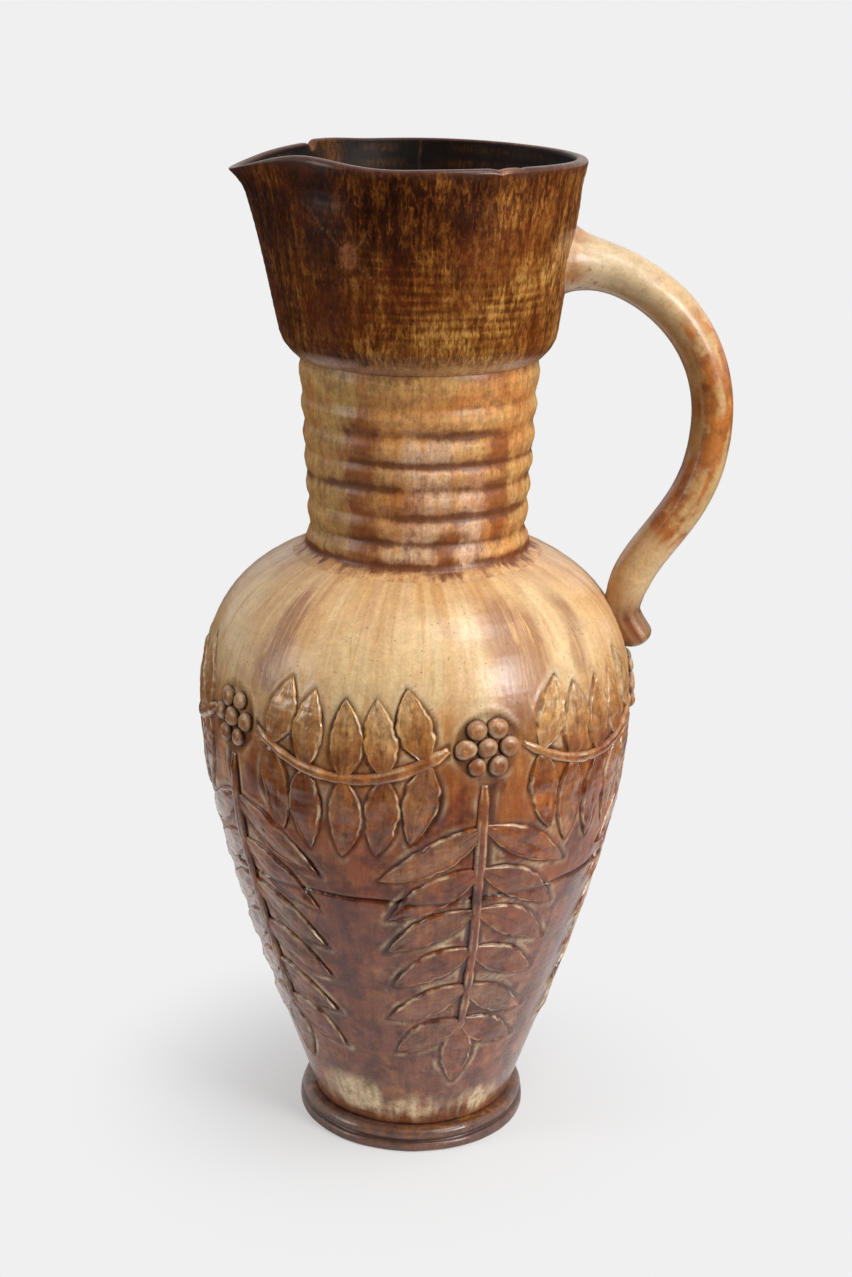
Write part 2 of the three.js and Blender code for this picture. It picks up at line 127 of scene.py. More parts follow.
def thrown(angle, height):
    """How far the hand-turned wall stands out from a true circle: slow patches and faint spiral rings."""
    slow = 0.45 * patches(angle, height, 7, 70, 1)
    quick = 0.16 * patches(angle, height, 22, 24, 2)
    rings = 0.05 * np.sin(TURN * height / 4.1 + angle)
    return slow + quick + rings


round_test = thrown(np.linspace(0, TURN, 200), 230.0)
print(f"the wall wanders by {np.ptp(round_test):.2f} mm at the belly")

# %% [markdown]
# ## The body's outline
# Seen from the side, the egg-shaped body is two cubic curves: the flank from the foot to the belly and
# the shoulder from the belly to the neck. A Screw modifier could turn such a line into a pot, but leaves
# have to be laid on this one, so the line is kept as a table. Distances on the clay are measured along
# it, which is called the rise here, so that leaves keep their size on the slope.

# %% The outline as a table of rise, place and outward direction
BODY_BASE_RADIUS = 52.3
BELLY_RADIUS = 108.4
NECK_RADIUS = 54.0
BELLY_ABOVE_SEAM = 70
BELLY_HEIGHT = SEAM + BELLY_ABOVE_SEAM
FLANK = [
    (BODY_BASE_RADIUS, FOOT_TOP),
    (63.5, FOOT_TOP + 38),
    (BELLY_RADIUS, BELLY_HEIGHT - 69),
    (BELLY_RADIUS, BELLY_HEIGHT),
]
SHOULDER = [
    (BELLY_RADIUS, BELLY_HEIGHT),
    (BELLY_RADIUS, BELLY_HEIGHT + 43),
    (93.8, NECK_BASE - 13.2),
    (NECK_RADIUS, NECK_BASE),
]


def bezier(corners, t):
    """Cubic curve: the corners weighted by (1-t)^3, 3(1-t)^2 t, 3(1-t) t^2 and t^3."""
    s = 1 - t
    weights = np.stack([s**3, 3 * s**2 * t, 3 * s * t**2, t**3], axis=-1)
    return weights @ np.asarray(corners, float)


def lengths_along(points):
    """Distance of each point from the first, measured along the line through them."""
    return np.concatenate([[0], np.cumsum(np.linalg.norm(np.diff(points, axis=0), axis=1))])


fine = np.linspace(0, 1, 600)
outline = np.vstack([bezier(FLANK, fine), bezier(SHOULDER, fine[1:])])
outline_rise = lengths_along(outline)
outline_slope = np.gradient(outline, outline_rise, axis=0)


def along_body(rise):
    """Radius, height and the outward direction of the body's outline at a rise."""
    radius = np.interp(rise, outline_rise, outline[:, 0])
    height = np.interp(rise, outline_rise, outline[:, 1])
    out_r = np.interp(rise, outline_rise, outline_slope[:, 1])
    out_z = -np.interp(rise, outline_rise, outline_slope[:, 0])
    return radius, height, out_r, out_z


def rise_at(height):
    """Rise of the outline at a height."""
    return np.interp(height, outline[:, 1], outline_rise)


def on_body(angle, rise, lift):
    """Point on the body: the outline's point moved out along its normal by lift, then turned by angle."""
    radius, height, out_r, out_z = along_body(rise)
    raised = lift + thrown(angle, height)
    r = radius + raised * out_r
    z = height + raised * out_z
    return np.stack(np.broadcast_arrays(r * np.cos(angle), r * np.sin(angle), z), axis=-1)


print(f"the outline is {outline_rise[-1]:.1f} mm long, with its belly at {rise_at(BELLY_HEIGHT):.1f} mm")

# %% [markdown]
# ## From points to a piece
# A shape is a grid of points. Neighbouring points make a four-sided face, and the last column joins the
# first. A wall with two faces also joins its last row to its first. Any other shape is closed by one
# middle point at each end. Painted values, such as where the glaze pools, ride on the points for the
# materials to read.

# %% Grid to faces


def shell(points, paint, ring=False):
    """Closed faces over a grid of points, turned outwards where the volume they hold comes out negative."""
    rows, columns = points.shape[:2]
    number = np.arange(rows * columns).reshape(rows, columns)
    low, high = (number, np.roll(number, -1, axis=0)) if ring else (number[:-1], number[1:])
    quads = np.stack([low, np.roll(low, -1, axis=1), np.roll(high, -1, axis=1), high], axis=-1).reshape(-1, 4)
    places = points.reshape(-1, 3)
    values = {name: np.broadcast_to(value, (rows, columns)) for name, value in paint.items()}
    flat = {name: value.ravel() for name, value in values.items()}
    triangles = np.zeros((0, 3), int)
    if not ring:
        places = np.vstack([places, points[0].mean(axis=0), points[-1].mean(axis=0)])
        flat = {name: np.append(flat[name], [v[0].mean(), v[-1].mean()]) for name, v in values.items()}
        first = np.stack([np.roll(number[0], -1), number[0], np.full(columns, rows * columns)], axis=-1)
        last = np.stack([number[-1], np.roll(number[-1], -1), np.full(columns, rows * columns + 1)], axis=-1)
        triangles = np.vstack([first, last])
    halves = np.vstack([quads[:, [0, 1, 2]], quads[:, [0, 2, 3]], triangles])
    a, b, c = (places[halves[:, k]] for k in range(3))
    if np.einsum("ij,ij->", a, np.cross(b, c)) < 0:
        quads, triangles = quads[:, ::-1], triangles[:, ::-1]
    return places, quads, triangles, flat


# %% Faces to a piece
def piece(node, material, shells):
    """One Blender object made of shells. It stands for a CAD node, rides on the part and has a finish."""
    starts = np.concatenate([[0], np.cumsum([len(s[0]) for s in shells])])
    places = np.vstack([s[0] for s in shells]) * MM
    quads = np.vstack([s[1] + start for s, start in zip(shells, starts)])
    triangles = np.vstack([s[2] + start for s, start in zip(shells, starts)])
    mesh = bpy.data.meshes.new("glazed_" + node)
    mesh.vertices.add(len(places))
    mesh.vertices.foreach_set("co", places.astype(np.float32).ravel())
    corners = np.concatenate([quads.ravel(), triangles.ravel()]).astype(np.int32)
    mesh.loops.add(len(corners))
    mesh.loops.foreach_set("vertex_index", corners)
    face_starts = np.concatenate([4 * np.arange(len(quads)), 4 * len(quads) + 3 * np.arange(len(triangles))])
    mesh.polygons.add(len(face_starts))
    mesh.polygons.foreach_set("loop_start", face_starts.astype(np.int32))
    mesh.update(calc_edges=True)
    for name in shells[0][3]:
        values = np.concatenate([s[3][name] for s in shells]).astype(np.float32)
        mesh.attributes.new(name, "FLOAT", "POINT").data.foreach_set("value", values)
    mesh.shade_smooth()
    mesh.materials.append(material)
    made = bpy.data.objects.new("glazed_" + node, mesh)
    bpy.context.scene.collection.objects.link(made)
    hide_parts(node)
    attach(made, "root")
    print(f"{made.name}: {len(places)} points, {2 * len(quads) + len(triangles)} triangles")


# %% Turned grids
def turned(radius, height, angle):
    """Points of a turned surface: x = r cos(angle), y = r sin(angle), z = height."""
    return np.stack(np.broadcast_arrays(radius * np.cos(angle), radius * np.sin(angle), height), axis=-1)


def around(columns):
    """Evenly spaced angles round the pot, as one row."""
    return np.arange(columns)[None, :] * TURN / columns


# %% [markdown]
# ## Colours and nodes
# A finish is a small diagram of nodes. It could be drawn by hand in the shader editor. Written as code,
# it needs a few helpers to stay readable: one adds a node and fills its sockets, others lay one colour
# over another through a mask. Colours are picked as on a screen, from 0 to 255, and are turned into the
# linear values that shaders count with.

# %% Node helpers


def tint(red, green, blue):
    """A screen colour as linear light: below 0.04045 divided by 12.92, above it a power of 2.4."""
    c = np.array([red, green, blue]) / 255
    linear = np.where(c <= 0.04045, c / 12.92, ((c + 0.055) / 1.055) ** 2.4)
    return (*linear.tolist(), 1.0)


def add(tree, kind, inputs, **settings):
    """Adds one node. An input that is a socket is linked, and any other value is set."""
    node = tree.nodes.new(kind)
    for name, value in settings.items():
        setattr(node, name, value)
    for key, value in inputs.items():
        if isinstance(value, bpy.types.NodeSocket):
            tree.links.new(value, node.inputs[key])
        else:
            node.inputs[key].default_value = value
    return node


def count(tree, operation, a, b):
    """One sum, product or other step of arithmetic, held between 0 and 1."""
    return add(tree, "ShaderNodeMath", {0: a, 1: b}, operation=operation, use_clamp=True).outputs[0]


def add_up(tree, start, *terms):
    """A start value plus each mask times its weight."""
    total = start
    for mask, weight in terms:
        inputs = {0: mask, 1: weight, 2: total}
        total = add(tree, "ShaderNodeMath", inputs, operation="MULTIPLY_ADD").outputs[0]
    return total


cream = [round(c, 3) for c in tint(240, 220, 180)]
print("screen colour 240, 220, 180 as linear light:", cream)


# %% Layers of colour
def over(tree, mask, below, above, strength=1.0):
    """The colour above laid over the colour below where the mask is 1, as strongly as strength says."""
    amount = mask if strength == 1.0 else count(tree, "MULTIPLY", mask, strength)
    return add(tree, "ShaderNodeMix", {0: amount, 6: below, 7: above}, data_type="RGBA").outputs[2]


def darken(tree, mask, below, stain, strength=1.0):
    """The colour below multiplied by a stain where the mask is 1, so that it keeps its own hue."""
    amount = mask if strength == 1.0 else count(tree, "MULTIPLY", mask, strength)
    settings = {"data_type": "RGBA", "blend_type": "MULTIPLY"}
    return add(tree, "ShaderNodeMix", {0: amount, 6: below, 7: stain}, **settings).outputs[2]


def layered(tree, colour, layers):
    """Colours laid on in turn. A layer says how (over or darken), where, which colour and how strongly."""
    for lay, mask, shade, strength in layers:
        above = tint(*shade) if isinstance(shade, tuple) else shade
        colour = lay(tree, mask, colour, above, strength)
    return colour


# %% Masks, places and noise
def ease(tree, value, low, high):
    """A mask that is 0 below low and 1 above high, with a smooth step between."""
    node = add(tree, "ShaderNodeMapRange", {"Value": value, "From Min": low, "From Max": high})
    node.interpolation_type = "SMOOTHSTEP"
    return node.outputs["Result"]


def between(tree, value, low, high):
    """A mask from 0 to 1 turned into a value from low to high."""
    return add(tree, "ShaderNodeMapRange", {"Value": value, "To Min": low, "To Max": high}).outputs["Result"]


def times(tree, mask, value, low, high):
    """A mask times a second one that has been turned into a value from low to high."""
    return count(tree, "MULTIPLY", mask, between(tree, value, low, high))


def painted(tree, name):
    """A value painted on the points of the mesh."""
    return add(tree, "ShaderNodeAttribute", {}, attribute_name=name).outputs["Fac"]


def place(tree):
    """The point's place in the part's own frame, in metres."""
    return add(tree, "ShaderNodeTexCoord", {}).outputs["Object"]


def vector_step(tree, operation, inputs, output="Vector"):
    """One step of arithmetic on places or directions."""
    return add(tree, "ShaderNodeVectorMath", inputs, operation=operation).outputs[output]


def noise(tree, where, scale, detail, roughness, distortion=0.0):
    """Cloudy noise from 0 to 1 that reads a place."""
    settings = {"Vector": where, "Scale": scale, "Detail": detail}
    settings.update({"Roughness": roughness, "Distortion": distortion})
    return add(tree, "ShaderNodeTexNoise", settings).outputs["Fac"]


# %% Colour tables and groups
def colour_table(tree, value, stops):
    """Colours at stops from 0 to 1, with even blends between them."""
    table = add(tree, "ShaderNodeValToRGB", {0: value})
    ramp = table.color_ramp
    for _ in stops[2:]:
        ramp.elements.new(0.5)
    for element, (at, colour) in zip(ramp.elements, stops):
        element.position = at
        element.color = tint(*colour)
    return table.outputs[0]


def new_group(name, inputs, outputs):
    """An empty node group with named number inputs, and outputs that are numbers or colours."""
    tree = bpy.data.node_groups.new(name, "ShaderNodeTree")
    for socket, value in inputs.items():
        tree.interface.new_socket(socket, in_out="INPUT", socket_type="NodeSocketFloat").default_value = value
    for socket, kind in outputs.items():
        tree.interface.new_socket(socket, in_out="OUTPUT", socket_type="NodeSocket" + kind)
    return tree, tree.nodes.new("NodeGroupInput").outputs, tree.nodes.new("NodeGroupOutput").inputs


def use(tree, group, **inputs):
    """Places a node group in a tree and fills its inputs."""
    node = tree.nodes.new("ShaderNodeGroup")
    node.node_tree = group
    for name, value in inputs.items():
        socket = node.inputs[name]
        if isinstance(value, bpy.types.NodeSocket):
            tree.links.new(value, socket)
        else:
            socket.default_value = value
    return node.outputs


# %% [markdown]
# ## Streaks of running glaze
# A fluid glaze runs straight down in the kiln, so its streaks follow the outline of the pot. They could
# be painted on an unrolled picture of each piece, but would then break at every join. Noise that reads
# the direction from the axis, and only a little of the height, gives lines that run down the mouth, fan
# out over the shoulder and go on down the belly, from one piece to the next.

# %% Streak group
streaks, enter, leave = new_group(
    "running_streaks",
    {"Fineness": 30.0, "Stretch": 8.0, "Shift": 0.0, "Low": 0.45, "High": 0.6},
    {"Mask": "Float"},
)
parts = add(streaks, "ShaderNodeSeparateXYZ", {0: place(streaks)}).outputs
level = add(streaks, "ShaderNodeCombineXYZ", {0: parts[0], 1: parts[1]}).outputs[0]
compass = vector_step(streaks, "NORMALIZE", {0: level})
spread = vector_step(streaks, "SCALE", {0: compass, "Scale": enter["Fineness"]})
flow = add_up(streaks, enter["Shift"], (parts[2], enter["Stretch"]))
fall = add(streaks, "ShaderNodeCombineXYZ", {2: flow}).outputs[0]
track = vector_step(streaks, "ADD", {0: spread, 1: fall})
lines = noise(streaks, track, 1.0, 4.0, 0.62, 0.7)
streaks.links.new(ease(streaks, lines, enter["Low"], enter["High"]), leave["Mask"])


def streak(tree, fineness, stretch, shift, low, high):
    """A mask of streaks: how many go round, how short they are, and where the noise begins to count."""
    settings = {"Fineness": fineness, "Stretch": stretch, "Shift": shift, "Low": low, "High": high}
    return use(tree, streaks, **settings)["Mask"]


print("streak group:", len(streaks.nodes), "nodes")

# %% [markdown]
# ## Clouds and the skin of the glaze
# Clouds are plain patches of noise, where the glaze lay thicker or the fire was hotter. The skin is what
# light catches close up: a faint orange-peel swell, a fine dark grain, and small specks where iron burnt
# through the glaze. Each is a node group, so that all the glazes share it and it is changed in one place.

# %% Cloud group
clouds, enter, leave = new_group(
    "glaze_clouds", {"Scale": 20.0, "Shift": 0.0, "Low": 0.4, "High": 0.65}, {"Mask": "Float"}
)
shift = add(clouds, "ShaderNodeCombineXYZ", {0: enter["Shift"], 2: enter["Shift"]}).outputs[0]
moved = vector_step(clouds, "ADD", {0: place(clouds), 1: shift})
blots = noise(clouds, moved, enter["Scale"], 5.0, 0.62)
clouds.links.new(ease(clouds, blots, enter["Low"], enter["High"]), leave["Mask"])


def cloud(tree, scale, shift, low, high):
    """A mask of patches: how small they are, which noise is read, and where it begins and ends to count."""
    return use(tree, clouds, Scale=scale, Shift=shift, Low=low, High=high)["Mask"]


print("cloud group:", len(clouds.nodes), "nodes")

# %% Skin group
skin_gives = {"Height": "Float", "Specks": "Float", "Grain": "Float", "Mottle": "Float"}
skin, enter, leave = new_group("glaze_skin", {}, skin_gives)
swell = noise(skin, place(skin), 150.0, 4.0, 0.6)
sand = noise(skin, place(skin), 700.0, 3.0, 0.7)
mottle = noise(skin, place(skin), 170.0, 5.0, 0.72)
skin.links.new(ease(skin, mottle, 0.28, 0.72), leave["Mottle"])
grains = add(skin, "ShaderNodeTexVoronoi", {"Vector": place(skin), "Scale": 400.0})
near = ease(skin, grains.outputs["Distance"], 0.22, 0.1)
chosen = add(skin, "ShaderNodeSeparateColor", {0: grains.outputs["Color"]}).outputs[0]
dots = count(skin, "MULTIPLY", near, ease(skin, chosen, 0.74, 0.84))
skin.links.new(dots, leave["Specks"])
skin.links.new(ease(skin, sand, 0.42, 0.68), leave["Grain"])
skin.links.new(add_up(skin, swell, (dots, -0.5)), leave["Height"])
print("skin group:", len(skin.nodes), "nodes")

# %% [markdown]
# ## A glaze
# A glaze is a coloured glass on rough clay. Its colour differs from piece to piece, but its mottling,
# grain, specks, uneven shine and orange-peel surface are the same everywhere. So one function builds the
# material, and is handed another function that builds only the colour. The thin clear coat gives the
# soft second highlight of fired glass.

# %% Glaze finish
SPECK_BROWN = tint(70, 40, 24)
GRAIN_TAN = tint(186, 160, 136)
MOTTLE_DARKER = 0.24
MOTTLE_LIGHTER = 0.2
SMOOTHER = 0.08
ROUGHER = 0.1
DULL_ROUGHNESS = 0.2
COAT_ROUGHNESS = 0.2
BUMP_STRENGTH = 0.35
BUMP_DEPTH = 0.0008


def glaze(
    name, paint_colour, roughness=0.3, coat=0.2, specks=0.5, grain=0.5, mottle=1.0, combed=0.0,
    dull=None, ior=1.46,
):
    """A glazed material. paint_colour builds the colour from the tree; the rest is shared by all glazes.
    mottle says how much lighter and darker the colour gets in small patches. combed adds short lines
    down the wall to the bump, as a tool or brush leaves in clay. dull names a painted value that takes
    the shine off."""
    material = bpy.data.materials.new(name)
    material.use_nodes = True
    tree = material.node_tree
    shader = tree.nodes["Principled BSDF"]
    surface = use(tree, skin)
    value = between(tree, surface["Mottle"], 1 - MOTTLE_DARKER * mottle, 1 + MOTTLE_LIGHTER * mottle)
    mottled = {"Value": value, "Color": paint_colour(tree)}
    colour = add(tree, "ShaderNodeHueSaturation", mottled).outputs[0]
    colour = darken(tree, surface["Grain"], colour, GRAIN_TAN, grain)
    colour = over(tree, surface["Specks"], colour, SPECK_BROWN, specks)
    patchy = cloud(tree, 45.0, 0.7, 0.3, 0.7)
    rough = between(tree, patchy, roughness - SMOOTHER, roughness + ROUGHER)
    shader.inputs["Coat Weight"].default_value = coat
    if dull:
        rough = count(tree, "ADD", rough, count(tree, "MULTIPLY", painted(tree, dull), DULL_ROUGHNESS))
        tree.links.new(between(tree, painted(tree, dull), coat, 0.0), shader.inputs["Coat Weight"])
    lines = streak(tree, 70.0, 100.0, 5.0, 0.3, 0.7)
    relief = add_up(tree, surface["Height"], (lines, combed))
    bumpy = {"Height": relief, "Strength": BUMP_STRENGTH, "Distance": BUMP_DEPTH}
    bump = add(tree, "ShaderNodeBump", bumpy)
    tree.links.new(colour, shader.inputs["Base Color"])
    tree.links.new(rough, shader.inputs["Roughness"])
    tree.links.new(bump.outputs["Normal"], shader.inputs["Normal"])
    shader.inputs["IOR"].default_value = ior
    shader.inputs["Coat Roughness"].default_value = COAT_ROUGHNESS
    return material


# %% [markdown]
# ## The glaze of the body
# One colour table runs from the foot to the neck: red-brown low down, orange-brown at the belly, and
# cream on the shoulder. Streaks and clouds break it up, some low down and others high up. Painted masks
# then lay on dark glaze where it pooled, cream where it drew back from an edge, and single stains and
# pale runs. A photograph wrapped round the pot could give such colours too, but only from its own side
# and with its own light. The moulded leaves wear the same glaze, so the table is a group that several
# materials share.

# %% Body colour group
BODY_COLOURS = [
    (0.00, (120, 66, 38)),
    (0.07, (154, 102, 60)),
    (0.18, (132, 76, 52)),
    (0.36, (136, 72, 44)),
    (0.50, (140, 70, 32)),
    (0.60, (152, 82, 34)),
    (0.70, (174, 108, 50)),
    (0.76, (198, 140, 74)),
    (0.83, (216, 168, 106)),
    (0.92, (224, 182, 126)),
    (1.00, (210, 162, 104)),
]
body_tree, enter, leave = new_group(
    "body_glaze_colour",
    {"Pool": 0.0, "Arris": 0.0, "Stain": 0.0, "Pale": 0.0},
    {"Color": "Color"},
)
height = add(body_tree, "ShaderNodeSeparateXYZ", {0: place(body_tree)}).outputs[2]
scaled = add(body_tree, "ShaderNodeMapRange", {"Value": height, "From Max": NECK_BASE * MM}).outputs["Result"]
drift = streak(body_tree, 5.0, 8.0, 3.0, 0.2, 0.8)
waver = add_up(body_tree, -0.1, (drift, 0.2), (scaled, 1.0))
base = colour_table(body_tree, waver, BODY_COLOURS)

low_down = ease(body_tree, height, 0.27, 0.21)
deep_down = ease(body_tree, height, 0.17, 0.1)
high_up = ease(body_tree, height, 0.22, 0.27)
rust = cloud(body_tree, 34.0, 1.3, 0.44, 0.6)
mauve = cloud(body_tree, 16.0, 7.7, 0.4, 0.6)
umber = cloud(body_tree, 70.0, 2.6, 0.44, 0.62)
honey = cloud(body_tree, 95.0, 5.1, 0.5, 0.66)
light_runs = streak(body_tree, 15.0, 9.0, 0.0, 0.4, 0.7)
lilac_runs = streak(body_tree, 12.0, 6.0, 4.0, 0.48, 0.66)
dark_runs = streak(body_tree, 9.0, 9.0, 9.0, 0.4, 0.7)
short_runs = streak(body_tree, 48.0, 70.0, 1.0, 0.36, 0.66)
base = layered(body_tree, base, [
    (over, times(body_tree, rust, low_down, 0.08, 0.55), (164, 78, 24), 1.0),
    (over, times(body_tree, mauve, deep_down, 0.0, 0.6), (130, 84, 72), 1.0),
    (darken, times(body_tree, umber, low_down, 0.15, 0.85), (172, 136, 116), 1.0),
    (over, times(body_tree, honey, low_down, 0.1, 0.3), (208, 140, 70), 1.0),
    (over, times(body_tree, light_runs, high_up, 0.0, 0.5), (238, 210, 162), 1.0),
    (over, times(body_tree, lilac_runs, high_up, 0.0, 0.35), (210, 168, 138), 1.0),
    (darken, times(body_tree, dark_runs, high_up, 0.9, 0.4), (204, 168, 140), 1.0),
    (darken, times(body_tree, short_runs, high_up, 0.45, 0.16), (214, 190, 168), 1.0),
    (over, enter["Pale"], (230, 200, 150), 1.0),
    (over, enter["Stain"], (136, 78, 46), 1.0),
    (over, enter["Pool"], (58, 27, 13), 1.0),
    (over, enter["Arris"], (222, 196, 156), 1.0),
])
body_tree.links.new(base, leave["Color"])
print("body colour group:", len(body_tree.nodes), "nodes")


# %% Body materials
def body_colour(tree):
    """The body's colour table with the masks painted on the clay, broken up by streaks and clouds."""
    worn = cloud(tree, 110.0, 2.0, 0.32, 0.52)
    broken = streak(tree, 40.0, 50.0, 4.0, 0.26, 0.55)
    cuts = {"Pool": 0.95, "Arris": worn, "Stain": broken, "Pale": broken}
    masks = {name: count(tree, "MULTIPLY", painted(tree, name.lower()), cut) for name, cut in cuts.items()}
    return use(tree, body_tree, **masks)["Color"]


lower_glaze = glaze("lower_body_glaze", body_colour, roughness=0.23, coat=0.45, mottle=0.8, combed=0.25)
upper_glaze = glaze(
    "upper_body_glaze", body_colour, roughness=0.36, coat=0.25, grain=0.25, mottle=0.45, combed=0.07
)
relief_glaze = glaze("relief_glaze", body_colour, roughness=0.23, coat=0.5, grain=0.35, combed=0.3)
berry_glaze = glaze("berry_glaze", body_colour, roughness=0.36, coat=0.2, grain=0.45, combed=0.2)
print("body glazes:", [m.name for m in (lower_glaze, upper_glaze, relief_glaze, berry_glaze)])

# %% [markdown]
# ## Where the leaves go
# Five knots of berries sit round the belly. A garland hangs from each knot to the next, and a spray
# hangs below each knot. The layout follows the CAD source. Copies of one leaf would look stamped, so each
# leaf differs a little in heading, length, width and bow, as leaves pressed on by hand do. The random
# numbers have a fixed seed, so every run gives the same pot.

# %% Leaf list
Leaf = namedtuple("Leaf", "angle rise heading length half_width bow tone")
UNITS = 5
UNIT_ANGLE = TURN / UNITS
KNOT_ABOVE_BELLY = 11
KNOT_RISE = rise_at(BELLY_HEIGHT + KNOT_ABOVE_BELLY)
KNOT_RADIUS = along_body(KNOT_RISE)[0]
KNOT_REACH = 18.4
SAG = 16.0
GARLAND_PAIRS = 5
LEAF_GAP = 2.6
LEAF_HALF_WIDTH = ((UNIT_ANGLE * KNOT_RADIUS - 2 * KNOT_REACH) / GARLAND_PAIRS - LEAF_GAP) / 2
GARLAND_LEAN = 20
UPPER_LEAF = 37
LOWER_LEAF = 43
SPRAY_LENGTH = 152.0
SPRAY_PAIRS = 6
SPRAY_FIRST_PAIR = 22
SPRAY_PAIR_STEP = 24
SPRAY_LEAF = 56
SPRAY_LEAF_LOSS = 3.5
SPRAY_SLANT = 33
TIP_LEAF = 40
TIP_LEAF_SUNK = 6


def garland_line(unit, t):
    """Angle and rise of a garland's stem: level steps of angle, and a parabola 4t(1-t) of sag."""
    start = unit * UNIT_ANGLE + KNOT_REACH / KNOT_RADIUS
    end = (unit + 1) * UNIT_ANGLE - KNOT_REACH / KNOT_RADIUS
    return start + (end - start) * t, KNOT_RISE - SAG * 4 * t * (1 - t)


def pressed_on(rng, angle, rise, heading, length):
    """A leaf with small differences from its plan, drawn from a seeded generator."""
    turn, stretch, widen, bow, tone = rng.uniform(-1, 1, 5)
    heading = np.radians(heading + 3 * turn)
    length = length * (1 + 0.04 * stretch)
    half_width = LEAF_HALF_WIDTH * (1 + 0.05 * widen)
    return Leaf(angle, rise, heading, length, half_width, 0.05 * bow, tone)


print(f"{UNITS} knots, {UNIT_ANGLE * KNOT_RADIUS:.0f} mm apart round the belly")


# %% Leaves of a garland and of a spray
def garland_leaves(unit):
    """One leaf above and one below the stem at five steps; they lean out from the garland's middle."""
    rng = np.random.default_rng(40 + unit)
    leaves = []
    for t in (np.arange(GARLAND_PAIRS) + 0.5) / GARLAND_PAIRS:
        angle, rise = garland_line(unit, t)
        lean = GARLAND_LEAN * (1 - 2 * t)
        leaves.append(pressed_on(rng, angle, rise, 90 - lean, UPPER_LEAF))
        leaves.append(pressed_on(rng, angle, rise, lean / 2 - 90, LOWER_LEAF))
    return leaves


def spray_leaves(unit):
    """Six pairs of leaves that point down at a slant and get shorter, and one leaf at the tip."""
    rng = np.random.default_rng(60 + unit)
    angle = unit * UNIT_ANGLE
    top = KNOT_RISE - KNOT_REACH
    leaves = []
    for pair in range(SPRAY_PAIRS):
        rise = top - SPRAY_FIRST_PAIR - SPRAY_PAIR_STEP * pair
        length = SPRAY_LEAF - SPRAY_LEAF_LOSS * pair
        leaves.append(pressed_on(rng, angle, rise, -SPRAY_SLANT, length))
        leaves.append(pressed_on(rng, angle, rise, SPRAY_SLANT - 180, length))
    leaves.append(pressed_on(rng, angle, top - SPRAY_LENGTH + TIP_LEAF_SUNK, -90, TIP_LEAF))
    return leaves


garlands = [garland_leaves(unit) for unit in range(UNITS)]
sprays = [spray_leaves(unit) for unit in range(UNITS)]
all_leaves = [leaf for group in garlands + sprays for leaf in group]
print(f"{len(all_leaves)} leaves, each about {2 * LEAF_HALF_WIDTH:.1f} mm wide")

# %% [markdown]
# ## How near the clay is to a leaf
# Glaze collects in the corner where a leaf meets the wall. The wall therefore has to know how far each
# of its points is from the nearest leaf, stem or berry. Blender could measure this on the meshes, point
# by point. Here the shapes are known: on the unrolled wall a leaf is a lens, so the distance is close to
# how far the point lies outside half the leaf's width, and one formula does the whole wall.

# %% Distance to the relief
STEM_HALF_WIDTH = 3.0
KNOT_EDGE = 15.4
FAR_AWAY = 99.0
UNIT_DEGREES = 360 / UNITS


def leaf_width(t):
    """Share of a leaf's half width along its length: a lens sin(pi t^0.85), with a stalk at its start."""
    lens = np.sin(np.pi * np.clip(t, 0, 1) ** 0.85)
    return np.maximum(np.clip(lens, 0, 1) ** 0.85, 0.16 * (1 - smooth(0.0, 0.25, t)))


def leaf_distance(leaf, angle, rise):
    """Distance outside a leaf's edge: across it beyond its half width, or along it beyond its ends."""
    round_way = np.radians(apart(angle, np.degrees(leaf.angle))) * along_body(rise)[0]
    up_way = rise - leaf.rise
    ahead = round_way * np.cos(leaf.heading) + up_way * np.sin(leaf.heading)
    aside = round_way * np.sin(leaf.heading) - up_way * np.cos(leaf.heading)
    t = ahead / leaf.length
    aside = aside - leaf.bow * leaf.length * 4 * np.clip(t, 0, 1) * (1 - np.clip(t, 0, 1))
    beyond = np.maximum(np.abs(ahead - leaf.length / 2) - leaf.length / 2, 0)
    return np.hypot(np.maximum(np.abs(aside) - leaf.half_width * leaf_width(t), 0), beyond)


def relief_distance(angle, rise):
    """Distance to the nearest leaf, garland stem, spray stem or berry knot, in millimetres."""
    nearest = np.full(np.broadcast(angle, rise).shape, FAR_AWAY)
    for leaf in all_leaves:
        nearest = np.minimum(nearest, leaf_distance(leaf, angle, rise))
    half_unit = UNIT_DEGREES / 2
    knot_angle = np.radians((np.degrees(angle) + half_unit) % UNIT_DEGREES - half_unit)
    knot_way = knot_angle * along_body(rise)[0]
    from_middle = np.abs(KNOT_RISE - KNOT_REACH - rise - SPRAY_LENGTH / 2)
    past_end = np.maximum(from_middle - SPRAY_LENGTH / 2, 0)
    stem = np.hypot(np.maximum(np.abs(knot_way) - STEM_HALF_WIDTH, 0), past_end)
    knot = np.maximum(np.hypot(knot_way, rise - KNOT_RISE) - KNOT_EDGE, 0)
    t = (np.mod(angle, UNIT_ANGLE) - KNOT_REACH / KNOT_RADIUS) / (UNIT_ANGLE - 2 * KNOT_REACH / KNOT_RADIUS)
    inside = np.clip(t, 0, 1)
    end_gap = np.abs(t - inside) * FAR_AWAY
    garland = np.abs(rise - KNOT_RISE + SAG * 4 * inside * (1 - inside))
    garland = np.hypot(np.maximum(garland - STEM_HALF_WIDTH, 0), end_gap)
    return np.minimum.reduce([nearest, stem, knot, garland])


below_knot = relief_distance(np.zeros(1), np.array([KNOT_RISE - KNOT_REACH + 2]))[0]
print(f"between a knot and its spray the wall is {below_knot:.1f} mm from the relief")

